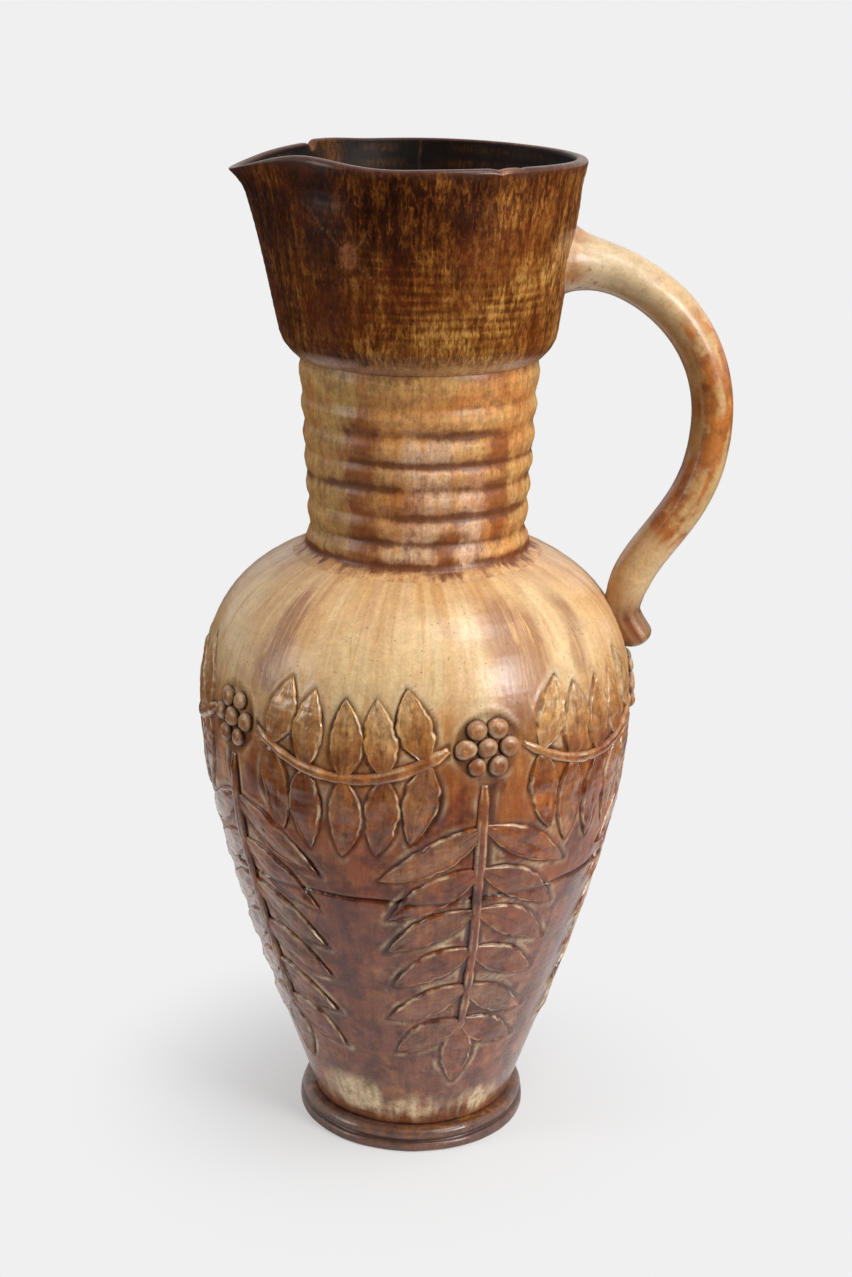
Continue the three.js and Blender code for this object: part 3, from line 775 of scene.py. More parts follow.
# %% [markdown]
# ## The lower body
# The lower half is a wall with an outside and an inside, so its grid closes both ways. Its top edge is
# the seam between the two thrown halves, which wanders up and down a little and dips into a small groove.
# Beside the leaves the wall sinks and swells by a fraction of a millimetre, as clay does when something
# is pressed on. These forms could be bumps in the material, but real points also change the outline.
# Stains, pale runs and worn spots are listed by direction, width and height, as seen on the pot.

# %% Seam line
COLUMNS = 720


def seam_rise(angle):
    """Rise of the seam round the pot: level, with slow and quick wanderings of about a millimetre."""
    return rise_at(SEAM) + 1.5 * ripple(angle, 11, 11) + 0.7 * ripple(angle, 60, 12)


def seam_groove(angle, rise):
    """1 on the seam, fading to 0 about two millimetres from it; it opens and closes round the pot."""
    open_to = 1.15 + 0.45 * ripple(angle, 30, 13)
    return bell(rise - seam_rise(angle), open_to)


print(f"the seam wanders up and down by {np.ptp(seam_rise(around(COLUMNS))):.1f} mm")


# %% Runs and drips
def run(angle, height, degrees, width, low, high, seed):
    """A run of glaze round one direction: a bell across, soft ends, and ragged sides from patches."""
    ragged = 1 + 0.6 * patches(angle, height, 90, 30, seed)
    across = bell(apart(angle, degrees) + 2.5 * patches(angle, height, 12, 25, seed + 1), width)
    ends = smooth(low - 8, low + 8, height) * (1 - smooth(high - 8, high + 8, height))
    return np.clip(1.3 * across * ends * ragged, 0, 1)


def runs(angle, height, places, seed):
    """Several runs laid over each other: the strongest counts."""
    return np.max([run(angle, height, *where, seed) for where in places], axis=0)


def crease_drips(angle, way):
    """Brown drips below the neck: strong up to a third of a drip's length, then ragged to its end."""
    drip = 5.5 + 9 * np.clip(ripple(angle, 170, 22), 0, 1) + 3 * ripple(angle, 24, 23)
    strength = 0.82 + 0.5 * ripple(angle, 18, 27) + 0.3 * ripple(angle, 90, 28)
    strength = strength * (1 - 0.6 * bell(apart(angle, 274), 12))
    return np.clip(strength * (1 - smooth(0.35 * drip, drip + 1, way)), 0, 1)


# %% Paint of the wall
WORN_FOOT = [(240, 15, 19, 38), (258, 24, 17, 29), (303, 14, 16, 28), (95, 30, 18, 32)]
STAINS = [
    (299, 8, 244, 300), (322, 4, 268, 300), (228, 5, 262, 300),
    (150, 9, 240, 300), (60, 7, 250, 300), (15, 6, 200, 280),
]
PALE_RUNS = [
    (287, 3, 228, 302), (272, 9, 262, 296), (252, 7, 255, 292), (318, 9, 266, 304),
    (205, 8, 255, 300), (110, 8, 250, 300), (30, 8, 255, 300),
]


def held(paint):
    """The painted values, each held between 0 and 1."""
    return {name: np.clip(value, 0, 1) for name, value in paint.items()}


def wall_paint(angle, rise):
    """Paint for the outside of the body: pools by the relief and seam, and runs placed as on the pot."""
    height = along_body(rise)[1]
    gap = relief_distance(angle, rise)
    uneven = patches(angle, height, 80, 8, 21)
    pool = np.maximum((0.65 + 0.5 * uneven) * bell(gap, 1.2), (0.22 + 0.2 * uneven) * bell(gap, 4))
    pool = np.maximum(pool, seam_groove(angle, rise))
    dripped = crease_drips(angle, outline_rise[-1] - rise + 1.5)
    brushed = 0.5 * patches(angle, height, 60, 7, 34) + 0.5 * patches(angle, height, 170, 12, 37)
    worn = np.clip(runs(angle, height, WORN_FOOT, 33) * (0.75 + 1.3 * brushed), 0, 1)
    kept = np.clip(0.25 + 0.5 * uneven + 0.4 * patches(angle, height, 30, 20, 39), 0, 1)
    arris = kept * bell(gap - 2.6, 1.1)
    rusty = patches(angle, height, 50, 6, 38)
    cove = np.clip(bell(height - FOOT_TOP, 6.5) * (1.0 + 0.9 * rusty), 0, 1)
    pool = np.maximum(pool, bell(height - FOOT_TOP, 1.6) * (0.5 + rusty))
    worn = worn * (1 - 0.85 * cove)
    arris = np.maximum(arris, worn)
    pale = np.maximum(0.75 * runs(angle, height, PALE_RUNS, 32), 0.4 * worn)
    placed = 0.7 * smooth(0.05, 0.9, runs(angle, height, STAINS, 31))
    stain = np.maximum.reduce([placed, 1.3 * dripped, cove])
    return held({"pool": pool, "arris": arris, "stain": stain, "pale": pale * (1 - dripped)}), gap


print(len(WORN_FOOT), "worn spots,", len(STAINS), "stains and", len(PALE_RUNS), "pale runs on the wall")


# %% Form of the wall
def wall_lift(angle, rise, gap):
    """How the wall gives: it sinks at the foot of a leaf, is pushed up beside it, and dips at the seam."""
    worked = 0.3 * patches(angle, rise, 60, 11, 24) * smooth(75, 60, np.abs(rise - rise_at(SEAM)))
    beside = -0.35 * bell(gap - 0.3, 1.0) + 0.45 * bell(gap - 2.5, 1.1)
    return worked + beside - 1.1 * seam_groove(angle, rise)


def backed(paint, rows, columns, shown):
    """Adds the rows of a hidden inside to painted values: 1 in the one that is shown there, 0 elsewhere."""
    hidden = np.ones((rows, columns))
    return {name: np.vstack([value, (name == shown) * hidden]) for name, value in paint.items()}


# %% Lower body
BODY_WALL = 8.0
INSIDE_ROWS = 14


def lower_body():
    """Rows rise from the foot to the seam outside, close together at the seam, then go back down inside."""
    angle = around(COLUMNS)
    top = seam_rise(angle)
    spaced = np.concatenate([np.linspace(0, 1, 108)[:-1], [0.991, 0.995, 0.998, 1.0]])[:, None]
    outside = spaced * top
    paint, gap = wall_paint(angle, outside)
    inside = np.linspace(1, 0, INSIDE_ROWS)[:, None] * top
    outer_skin = on_body(angle, outside, wall_lift(angle, outside, gap))
    points = np.vstack([outer_skin, on_body(angle, inside, -BODY_WALL + 0 * inside)])
    points[-1, :, 2] = FOOT_TOP
    return shell(points, backed(paint, INSIDE_ROWS, COLUMNS, "pool"), ring=True)


piece("lower_body", lower_glaze, [lower_body()])


# %% [markdown]
# ## The upper body
# The upper half starts at the same seam and goes over the shoulder to the neck, where brown glaze has
# pooled and run down in a ragged line of short drips. It is made like the lower half, from the same
# outline and paint, so that shape and colour go on across the seam. Rows of points lie closest at the
# seam, because its groove is only a few millimetres wide.

# %% Upper body
NECK_BORE = 47.0


def upper_body():
    """Rows rise from the seam to the neck outside, then go back to the seam inside."""
    angle = around(COLUMNS)
    low = seam_rise(angle)
    high = outline_rise[-1]
    spaced = np.concatenate([[0.0, 0.002, 0.005, 0.009], np.linspace(0, 1, 108)[2:]])[:, None]
    outside = low + spaced * (high - low)
    paint, gap = wall_paint(angle, outside)
    inside = high + np.linspace(0.04, 1, INSIDE_ROWS)[:, None] * (low - high)
    bore = turned(NECK_BORE + 0 * angle, NECK_BASE + 0 * angle, angle)[0][None]
    outer_skin = on_body(angle, outside, wall_lift(angle, outside, gap))
    points = np.vstack([outer_skin, bore, on_body(angle, inside, -BODY_WALL + 0 * inside)])
    return shell(points, backed(paint, INSIDE_ROWS + 1, COLUMNS, "pool"), ring=True)


piece("upper_body", upper_glaze, [upper_body()])

# %% [markdown]
# ## Leaves and stems
# Such leaves are pressed in a mould, laid on the damp wall and worked over with a tool. They could be
# sculpted by hand. Here each leaf is a closed skin: a top that is computed across and along the leaf, and
# an underside that is sunk in the wall, so that a hundred leaves follow the wall without a gap. The top
# is a low slab with a thin raised margin, an incised midrib and scratched veins. A stem is the same idea
# with a round back. The glaze drew back from the margins, so they are painted pale, and the scratches and
# the foot of each edge are painted dark.

# %% Skin of a strip
ACROSS = np.sin(np.linspace(-0.5, 0.5, 31) * np.pi)[None, :]
UNDER = np.array([[0.85, 0.0, -0.85]])
SUNK = -1.4


def strip_shell(angle, rise, heading, half_width, aside, lift, paint):
    """A skin along a line on the body: each point lies aside from the line, square to its heading."""
    radius = along_body(rise)[0]
    away = aside * half_width
    round_at = angle + away * np.sin(heading) / radius
    rise_here = rise - away * np.cos(heading)
    on_seam = seam_groove(round_at, rise_here)
    paint["pool"] = np.maximum(paint["pool"], 0.9 * on_seam)
    paint["arris"] = paint["arris"] * (1 - on_seam)
    return shell(on_body(round_at, rise_here, lift - 0.5 * on_seam), paint)


# %% Marks and paint of a leaf
def leaf_marks(leaf, t, aside, seed):
    """Incised midrib and slanting veins from 0 to 1, broken up as a tool skips over damp clay."""
    scratch = np.clip(0.5 + patches(2 * aside, 50 * t, 4, 6, seed + 1), 0, 1)
    rib = bell(aside + 0.08 * np.sin(6 * t + 9 * leaf.tone), 0.05) * (1 - smooth(0.7, 0.9, t))
    vein = (0.5 + 0.5 * np.cos(TURN * (leaf.length / 6.5 * t - 0.9 * np.abs(aside) + leaf.tone))) ** 12
    return rib * scratch, vein * np.clip(0.75 - np.abs(aside), 0, 1) * scratch


def leaf_paint(leaf, t, aside, top, seed):
    """Dark scratches and foot, a pale worn margin, and dabs of other tones within."""
    off = np.abs(aside)
    rib, vein = leaf_marks(leaf, t, aside, seed)
    worn = np.clip(0.5 + 1.0 * patches(3 * aside, 60 * t, 5, 5, seed), 0, 1)
    dabs = patches(5 * aside, 60 * t - 14 * off, 9, 3.0, seed + 3)
    dabbed = 0.2 * smooth(0.2, 0.7, dabs) * (1 - off**2)
    creases = np.maximum.reduce([0.7 * rib, 0.8 * vein, dabbed])
    inner = (1 - off**2) * top
    toned = 0.5 * np.clip(leaf.tone, 0, 1) * worn + 0.45 * smooth(0.05, 0.6, dabs)
    return {
        "pool": np.maximum(0.7 * smooth(0.95, 1.0, off) + 0 * t, creases) * top + (1 - top),
        "arris": np.clip(0.9 * bell(off - 0.88, 0.06) * worn, 0, 1) * top,
        "stain": np.clip(toned, 0, 1) * inner,
        "pale": np.clip(-0.16 * leaf.tone + 0.06 * smooth(0.2, 0.7, -dabs), 0, 1) * inner,
    }


# %% Leaf
LEAF_ROWS = 40


def leaf_shell(leaf):
    """A leaf on the wall: a sloped edge, a thin margin, a low dome, and incised rib and veins."""
    t = np.linspace(0, 1, LEAF_ROWS)[:, None]
    aside = np.concatenate([ACROSS, UNDER], axis=1)
    off = np.abs(aside)
    top = np.concatenate([np.ones_like(ACROSS), np.zeros_like(UNDER)], axis=1)
    seed = int(500 + 100 * leaf.tone)
    rib, vein = leaf_marks(leaf, t, aside, seed)
    modelled = 0.5 * patches(2 * aside, 60 * t, 5, 9, seed + 2)
    dome = 1.4 - 0.5 * off**2 + modelled + 0.5 * bell(off - 0.85, 0.07) - 0.45 * rib - 0.3 * vein
    edge = 1 - smooth(0.84, 1.0, off)
    tips = smooth(0, 0.08, t) * (1 - smooth(0.95, 1, t))
    lift = top * (edge * dome * (0.45 + 0.55 * tips) - 0.3) + (1 - top) * SUNK
    nicks = 1 + 0.1 * patches(0 * t + 9 * leaf.angle, 40 * t, 12, 3.2, 35) + 0.04 * np.sin(TURN * 9 * t) * t
    half_width = leaf.half_width * leaf_width(t) * nicks
    bow = leaf.bow * leaf.length * 4 * t * (1 - t)
    spread = aside + bow / np.maximum(half_width, 1.0)
    climb = leaf.length * t * np.sin(leaf.heading)
    angle = leaf.angle + leaf.length * t * np.cos(leaf.heading) / along_body(leaf.rise + climb / 2)[0]
    paint = leaf_paint(leaf, t, aside, top, seed)
    return strip_shell(angle, leaf.rise + climb, leaf.heading, half_width, spread, lift, paint)


print("a leaf has", len(leaf_shell(garlands[0][0])[0]), "points")


# %% Stem
def stem_shell(angle, rise, heading, half_width):
    """A stem with a round back: its height follows the root of one minus the square of the way aside."""
    aside = np.concatenate([ACROSS[:, ::2], UNDER], axis=1)
    top = np.concatenate([np.ones_like(ACROSS[:, ::2]), np.zeros_like(UNDER)], axis=1)
    back = np.sqrt(np.clip(1 - aside**2, 0, 1))
    uneven = patches(0 * rise, 5 * np.cumsum(np.ones_like(rise), axis=0), 4, 14, 36)
    t = np.linspace(0, 1, len(rise))[:, None]
    ends = smooth(0, 0.07, t) * (1 - smooth(0.93, 1, t))
    lift = top * (2.3 * back * (1 + 0.15 * uneven) * (0.15 + 0.85 * ends) - 0.3) + (1 - top) * SUNK
    half_width = half_width * (1 + 0.15 * uneven) * (0.5 + 0.5 * ends)
    worn = np.clip(0.5 + 0.8 * uneven, 0, 1)
    paint = {
        "pool": np.maximum(0.8 * smooth(0.86, 1.0, np.abs(aside)), 1 - top) + 0 * angle,
        "arris": 0.7 * bell(np.abs(aside) - 0.55, 0.16) * top * worn,
        "stain": 0 * lift,
        "pale": 0 * lift,
    }
    return strip_shell(angle, rise, heading, half_width, aside, lift, paint)


# %% Garlands and sprays
for unit in range(UNITS):
    t = np.linspace(0, 1, 70)[:, None]
    angle, rise = garland_line(unit, t)
    heading = np.arctan2(np.gradient(rise[:, 0]), np.gradient(angle[:, 0]) * KNOT_RADIUS)[:, None]
    stem = stem_shell(angle, rise, heading, STEM_HALF_WIDTH * (0.85 + 0.3 * smooth(0, 1, t)))
    piece(f"garland_{unit + 1}", relief_glaze, [stem, *map(leaf_shell, garlands[unit])])

for unit in range(UNITS):
    t = np.linspace(0, 1, 90)[:, None]
    angle = unit * UNIT_ANGLE + 0.012 * np.sin(5 * t + unit)
    rise = KNOT_RISE - KNOT_REACH - SPRAY_LENGTH * t
    stem = stem_shell(angle, rise, -np.pi / 2, STEM_HALF_WIDTH * (1.1 - 0.35 * t))
    piece(f"pendant_spray_{unit + 1}", relief_glaze, [stem, *map(leaf_shell, sprays[unit])])


# %% [markdown]
# ## Berry knots
# A berry is a small ball of clay pressed flat against the wall. A scaled UV sphere would be too regular,
# so it is half an ellipse, turned about the wall's outward direction, with lumps and a small dimple on
# top. One berry has six round it. They differ a little in size, and the glaze left a dark ring round the
# foot of each. Painted shade darkens the lower side of each berry, and a pale ring on its shoulder is
# thin glaze with a painted highlight.

# %% Berries
BERRY_ROWS = 14
BERRY_SIDES = 28
BERRY_HEIGHT = 3.2
BERRY_RADIUS = 5.2
BERRY_SPACING = 10.4
BERRIES_IN_RING = 6


def berry_shell(angle, rise, size):
    """Dome round the outward direction n: n h cos(s) plus the two level directions times r sin(s)."""
    s = np.linspace(0.04, 0.62, BERRY_ROWS)[:, None] * np.pi
    turn = around(BERRY_SIDES)
    _, _, out_r, out_z = along_body(rise)
    outward = np.array([out_r * np.cos(angle), out_r * np.sin(angle), out_z])
    sideways = np.array([-np.sin(angle), np.cos(angle), 0.0])
    upward = np.cross(outward, sideways)
    foot = on_body(np.array(angle), np.array(rise), 0.0)
    lump = 1 + 0.1 * patches(turn, 4 * s, 5, 3, int(900 * size))
    high = BERRY_HEIGHT * size * np.cos(s) * lump - 0.2 * bell(s, 0.3)
    wide = BERRY_RADIUS * size * np.sin(s) * lump
    points = foot + (high + 0 * turn)[..., None] * outward
    points = points + (wide * np.cos(turn))[..., None] * sideways + (wide * np.sin(turn))[..., None] * upward
    worn = np.clip(0.5 + patches(turn, 4 * s, 5, 2, int(700 * size)), 0, 1)
    # painted shade: the lower side of each berry is darkened, as in its own shadow
    below = np.clip(-np.sin(turn), 0, 1) * smooth(0.5, 1.2, s)
    paint = {
        "pool": np.clip(0.9 * smooth(0.95, 1.45, s) + 0.4 * below, 0, 1),
        # pale ring on the berry's shoulder: partly thin glaze, partly a painted highlight
        "arris": 0.5 * bell(s - 0.85, 0.3) * worn,
        "stain": 0.25 + 0.5 * worn,
        "pale": 0 * worn,
    }
    return shell(points, paint)


for unit in range(UNITS):
    rng = np.random.default_rng(80 + unit)
    ring = np.arange(BERRIES_IN_RING) * TURN / BERRIES_IN_RING
    angles = unit * UNIT_ANGLE + np.append(BERRY_SPACING * np.cos(ring), 0) / KNOT_RADIUS
    rises = KNOT_RISE + np.append(BERRY_SPACING * np.sin(ring), 0)
    sizes = rng.uniform(0.86, 1.06, BERRIES_IN_RING + 1)
    berries = [berry_shell(*berry) for berry in zip(angles, rises, sizes)]
    piece(f"berry_knot_{unit + 1}", berry_glaze, berries)

# %% [markdown]
# ## The neck
# Seven ribs were left by the potter's fingers. An Array of rings would space them evenly, which fingers
# don't. So their crests and grooves were measured, and a cosine swings the wall in and out between
# them. The ribs wander a little as they go round. At its foot the neck runs out into a thin skirt on the
# shoulder, and at its top it reaches a little into the mouth, so that no gap shows at either join. Ochre
# glaze sits on the crests, brown glaze in the grooves, and a few runs are placed where the pot has them.

# %% Ribs
RIB_CRESTS = np.array([316.0, 329.5, 341.5, 354.5, 367.0, 382.0, 398.0])
RIB_GROOVES = np.array([310.0, 322.0, 335.0, 348.0, 360.0, 374.0, 387.5, 405.0])


def rib_swing(height):
    """1 on a crest and 0 in a groove: half of one minus the cosine of a phase that grows by pi each."""
    heights = np.sort(np.concatenate([RIB_CRESTS, RIB_GROOVES]))
    phase = np.interp(height, heights, np.arange(len(heights)) * np.pi)
    return (0.5 - 0.5 * np.cos(phase)) ** 0.8


print(f"{len(RIB_CRESTS)} ribs, about {np.diff(RIB_CRESTS).mean():.1f} mm apart")

# %% Neck paint
NECK_TOP = MOUTH_BASE + 2.5
FILLET = 4.0
SKIRT_STRETCH = 2.2
NECK_STAINS = [
    (241, 9, 312, 384), (288, 6, 312, 336), (314, 8, 328, 374), (262, 7, 338, 352),
    (170, 9, 315, 390), (95, 8, 312, 380), (20, 8, 320, 395),
]
# pale pink patches laid where listed: two on the front of the neck and two behind
NECK_PALE_PATCHES = [(272, 15, 306, 376), (298, 9, 312, 356), (130, 10, 312, 385), (50, 10, 310, 380)]


def neck_paint(angle, rows, swing):
    """Brown in the grooves, painted shade under the mouth, ragged drips at the foot, and placed runs."""
    blotch = patches(angle, rows, 22, 10, 44)
    slow = patches(angle, rows, 7, 30, 48)
    most = 0.15 + 0.65 * bell(apart(angle, 285), 42) + 0.5 * bell(apart(angle, 110), 60)
    below_top = 1 - 0.75 * smooth(378, 390, rows)
    long_lines = patches(angle, rows, 9, 11, 45) + 0.5 * blotch
    groove = (1 - swing) ** 2.2 * (0.25 + 0.9 * most + 0.8 * long_lines + 0.4 * slow) * below_top
    on_fillet = NECK_BASE + FILLET - rows
    above = 1 - smooth(1.5, 4.5, on_fillet)
    drip_way = on_fillet + (SKIRT_STRETCH - 1) * np.clip(on_fillet - FILLET, 0, None)
    dripped = crease_drips(angle, drip_way) * smooth(-2.5, 1.0, on_fillet)
    # painted shade: a brown band at the top of the neck, under the overhang of the mouth
    shade_under_mouth = (0.6 + 0.3 * slow) * bell(rows - NECK_TOP - 1, 4.0)
    stain = runs(angle, rows, NECK_STAINS, 46) * (1.1 + 0.5 * blotch - 0.35 * swing)
    paint = {
        "pool": np.maximum(groove * above, shade_under_mouth),
        "drips": dripped,
        "arris": swing**2 * (0.7 + 0.4 * blotch),
        "stain": stain * above,
        "pale": 0.8 * runs(angle, rows, NECK_PALE_PATCHES, 47) * above,
        "skirt": smooth(2.5, 5.0, on_fillet) + 0 * angle,
        "inner": 0 * swing,
        "warm": bell(apart(angle, 308), 42) + 0.7 * bell(apart(angle, 150), 40) + 0.5 * slow,
    }
    return held(paint)


# %% Neck
NECK_COLUMNS = 480
NECK_INSIDE_ROWS = 12
NECK_FLARE = 4.8
NECK_OVERLAP = 0.6
SKIRT_FALL = 4.5


def neck():
    """Outside rows rise from a skirt on the shoulder past the ribs to the mouth; inside rows go back."""
    angle = around(NECK_COLUMNS)
    rows = np.linspace(NECK_BASE - SKIRT_FALL, NECK_TOP + NECK_OVERLAP, 178)[:, None]
    wander = 2.5 * np.sin(angle)
    wander = wander + 0.7 * patches(angle, rows, 5, 26, 41) + 0.35 * patches(angle, rows, 16, 13, 42)
    swing = rib_swing(rows + wander)
    share = (rows - NECK_BASE) / (MOUTH_BASE - NECK_BASE)
    depth = (1.65 - 0.7 * share) * (1 + 0.35 * patches(angle, rows, 8, 14, 43))
    fillet = FILLET * np.exp(-np.clip(rows - NECK_BASE, 0, None) / FILLET)
    outside = NECK_RADIUS + NECK_FLARE * share - depth * (1 - swing) + fillet + thrown(angle, rows)
    below = np.clip(NECK_BASE - rows, 0, None)
    way = 2.5 + SKIRT_STRETCH * below
    lift = 0.8 * np.exp(-SKIRT_STRETCH * below / 3.5) - 0.35 * smooth(6, 12, way)
    skirt = on_body(angle, outline_rise[-1] - way, lift)
    outer_skin = np.where(below[..., None] > 0, skirt, turned(outside, rows, angle))
    inner_rows = np.linspace(NECK_TOP + NECK_OVERLAP, NECK_BASE - NECK_OVERLAP, NECK_INSIDE_ROWS)[:, None]
    inner_share = (inner_rows - NECK_BASE) / (MOUTH_BASE - NECK_BASE)
    inside = NECK_BORE + NECK_FLARE * inner_share + 0 * angle
    points = np.vstack([outer_skin, turned(inside, inner_rows, angle)])
    paint = neck_paint(angle, rows, swing)
    return shell(points, backed(paint, NECK_INSIDE_ROWS, NECK_COLUMNS, "inner"), ring=True)


# %% Neck glaze
def neck_colour(tree):
    """Khaki, orange on the warm side, with paler crests and pale patches, brown grooves and short lines."""
    warm = cloud(tree, 24.0, 7.0, 0.4, 0.62)
    torn = cloud(tree, 85.0, 1.0, 0.3, 0.58)
    fine_torn = cloud(tree, 230.0, 3.0, 0.34, 0.64)
    orange = cloud(tree, 60.0, 4.0, 0.46, 0.62)
    lines = streak(tree, 16.0, 40.0, 6.0, 0.38, 0.68)
    dashes = streak(tree, 42.0, 150.0, 2.0, 0.38, 0.64)

    def ragged(name):
        """A painted mask whose edge is torn by the clouds and the short running lines."""
        tears = [(torn, 0.32), (fine_torn, 0.26), (dashes, 0.1)]
        edge = add_up(tree, -0.36, (painted(tree, name), 0.95), *tears)
        return ease(tree, edge, 0.04, 0.94)

    return layered(tree, tint(204, 166, 98), [
        (over, times(tree, painted(tree, "warm"), warm, 0.4, 1.0), (226, 154, 84), 0.85),
        (over, warm, (190, 118, 52), 0.3),
        (over, painted(tree, "arris"), (226, 186, 124), 0.45),
        (over, ragged("pale"), (232, 200, 170), 0.75),
        (over, orange, (190, 106, 42), 0.45),
        (over, painted(tree, "skirt"), (216, 172, 120), 1.0),
        (darken, lines, (212, 178, 142), 0.5),
        (over, ragged("stain"), (150, 80, 26), 0.9),
        # the pool mask holds glaze pooled in the grooves and the painted shade under the mouth
        (over, ragged("pool"), (108, 58, 24), 0.9),
        (over, ragged("drips"), (116, 60, 24), 1.0),
        (darken, dashes, (222, 198, 172), 0.3),
        (over, painted(tree, "inner"), (34, 17, 9), 1.0),
    ])


neck_glaze = glaze("neck_glaze", neck_colour, roughness=0.46, coat=0.08, grain=0.35, mottle=0.9)
piece("neck", neck_glaze, [neck()])

# %% [markdown]
# ## The mouth and spout
# The mouth is a funnel that starts with a sloped turn, out from the neck. The spout is pulled out of the
# soft rim with a finger. That could be done with Proportional Editing. Here a bell round the spout's
# direction moves the wall outwards, more and more towards the rim, and the rim rises on both flanks of
# the beak, so that each of these moves keeps its own number. The rim has worn chips, and at the back a
# notch where a break was mended with a small step. An old scar with two cracks is painted on the front.

# %% Mouth shape
MOUTH_COLUMNS = 540
MOUTH_WALL = 6.0
TURN_HEIGHT = MOUTH_BASE + 15
TURN_RADIUS = 66.8
TURN_START = 58.9
TURN_WIDTH = 7.9
MOUTH_FLARE = 12.0
LIP_HEIGHT = 2.4
LIP_BASE = RIM - LIP_HEIGHT
MOUTH_BORE = 51.9
BORE_FLARE = 8.9


def cone(height):
    """Outside radius: the funnel opens evenly from its turn to the rim, with a hollow below the lip."""
    hollow = 0.6 * bell(height - RIM + 13, 6)
    return TURN_RADIUS + MOUTH_FLARE * (height - TURN_HEIGHT) / (RIM - TURN_HEIGHT) - hollow


def mouth_profile():
    """Radius, height and share of the inside along the outline: turn, cone, lip, and bore back down."""
    lip = MOUTH_WALL / 2
    under = np.linspace(0, 1, 26)[:-1]
    wall = np.linspace(TURN_HEIGHT, LIP_BASE, 60)
    over_lip = np.linspace(0, 180, 26)[1:-1] * np.pi / 180
    bulge = np.sign(np.cos(over_lip)) * np.abs(np.cos(over_lip)) ** 0.7
    back = np.linspace(LIP_BASE, TURN_HEIGHT, 40)
    bore = np.linspace(TURN_HEIGHT, NECK_TOP, 8)[1:]
    radius = np.concatenate([
        TURN_START + TURN_WIDTH * (under + 0.2 * np.sin(np.pi * under)),
        cone(wall),
        cone(LIP_BASE) - lip + lip * bulge,
        cone(back) - MOUTH_WALL,
        MOUTH_BORE + BORE_FLARE * smooth(NECK_TOP + 2, TURN_HEIGHT, bore),
    ])
    height = np.concatenate([
        NECK_TOP + (TURN_HEIGHT - NECK_TOP) * under,
        wall,
        LIP_BASE + LIP_HEIGHT * np.sin(over_lip) ** 0.8,
        back,
        bore,
    ])
    outside = len(under) + len(wall)
    inner = smooth(outside + 12, outside + 21, np.arange(len(radius)))
    return radius[:, None], height[:, None], inner[:, None]


print(f"the mouth is {2 * mouth_profile()[0].max():.0f} mm wide at its rim, without the spout")

# %% Mouth paint
BREAK_AT = 137.5
SCAR_AT = 244
SCAR_HEIGHT = 461


def mouth_damage(angle, height, inner):
    """Pale chips on the rim, an old scar on the front, and cracks that cross it or run down inside."""
    at_rim = smooth(RIM - 5, RIM - 1, height)
    worn_edge = bell(apart(angle, 299), 3.2) * bell(height - RIM + 0.6, 1.2)
    chips = worn_edge + 0.7 * bell(apart(angle, BREAK_AT), 1.6) * at_rim
    aside = apart(angle, SCAR_AT)
    above_scar = height - SCAR_HEIGHT
    flake = bell(aside, 3.2) * bell(above_scar, 7.5) + 0.3 * patches(angle, height, 150, 4, 54)
    scar = smooth(0.42, 0.55, flake)
    flaked = 0.7 + 0.5 * patches(angle, height, 200, 2, 53)
    shift = 1.2 * patches(angle, height, 90, 4, 55)
    bent = aside + shift
    falling = bell(bent + 0.9 * above_scar, 0.45) * smooth(25, 13, above_scar) * smooth(-21, -9, above_scar)
    rising = bell(bent - 0.7 * above_scar, 0.4) * smooth(15, 7, above_scar) * smooth(-9, -1, above_scar)
    inside_crack = bell(apart(angle, 91) + shift, 0.5) * smooth(RIM - 40, RIM - 30, height)
    crack = 0.85 * (falling + rising) * (1 - inner) + 0.12 * inside_crack * inner
    return (chips + scar * (1 - inner)) * flaked, crack


def mouth_ochre(angle, height, inner, share):
    """Ochre that grows to the right and downwards in faint rings; inside, pale rings and one patch."""
    to_right = bell(apart(angle, 330), 48) + 0.5 * bell(apart(angle, 110), 40)
    low_front = smooth(0.78, 0.3, share) * (0.35 + 0.65 * bell(apart(angle, 285), 45))
    low_right = bell(apart(angle, 322), 26) * smooth(0.6, 0.3, share)
    wobble = 0.8 * np.sin(angle) + 1.5 * patches(angle, height, 14, 9, 57)
    ring_lines = np.sin(TURN * height / 4.2 + wobble) * smooth(0.1, 0.25, share)
    ring_lines = ring_lines * np.clip(low_front * (0.7 + patches(angle, height, 24, 12, 58)), 0, 1)
    blotch = 0.7 * patches(angle, height, 16, 34, 52) + 0.5 * patches(angle, height, 34, 13, 59)
    ochre = 0.13 + 0.38 * to_right + 0.46 * low_front - 0.18 * low_right + 0.2 * blotch + 0.2 * ring_lines
    lit_rings = np.clip(0.35 + patches(angle, height, 20, 8, 56), 0, 1)
    lit_rings = lit_rings * (0.5 + 0.5 * np.sin(TURN * height / 6.5))
    inside_patch = bell(apart(angle, 129), 6) * smooth(RIM - 24, RIM - 10, height)
    return ochre * (1 - inner) + inner * np.maximum(lit_rings, inside_patch)


def mouth_paint(angle, height, inner, share):
    """A dark rim, a ragged foot band in neck tones with a painted reflection, the damage and the ochre."""
    rim = smooth(RIM - 6 - 4 * ripple(angle, 40, 51), RIM - 0.5, height) + inner
    ragged = 5.5 + 2.0 * ripple(angle, 70, 60)
    # painted reflection: the band at the mouth's foot is partly the neck's glaze and partly lightened against
    # the underside's shade
    foot_band_and_reflection = 1 - smooth(0.5 * ragged, 1.3 * ragged, height - NECK_TOP)
    chip, crack = mouth_damage(angle, height, inner)
    paint = {
        "inner": inner + 0 * angle,
        "rim": rim * (1 - inner),
        "chip": chip,
        "crack": crack,
        "ochre": mouth_ochre(angle, height, inner, share),
        "foot": foot_band_and_reflection * (1 - inner),
    }
    return held(paint)


# %% Mouth
SPOUT_AT = 180
SPOUT_WIDTH = 20
SPOUT_REACH = 7.5
SPOUT_CURL = 6.0
SPOUT_DIP = 6.7


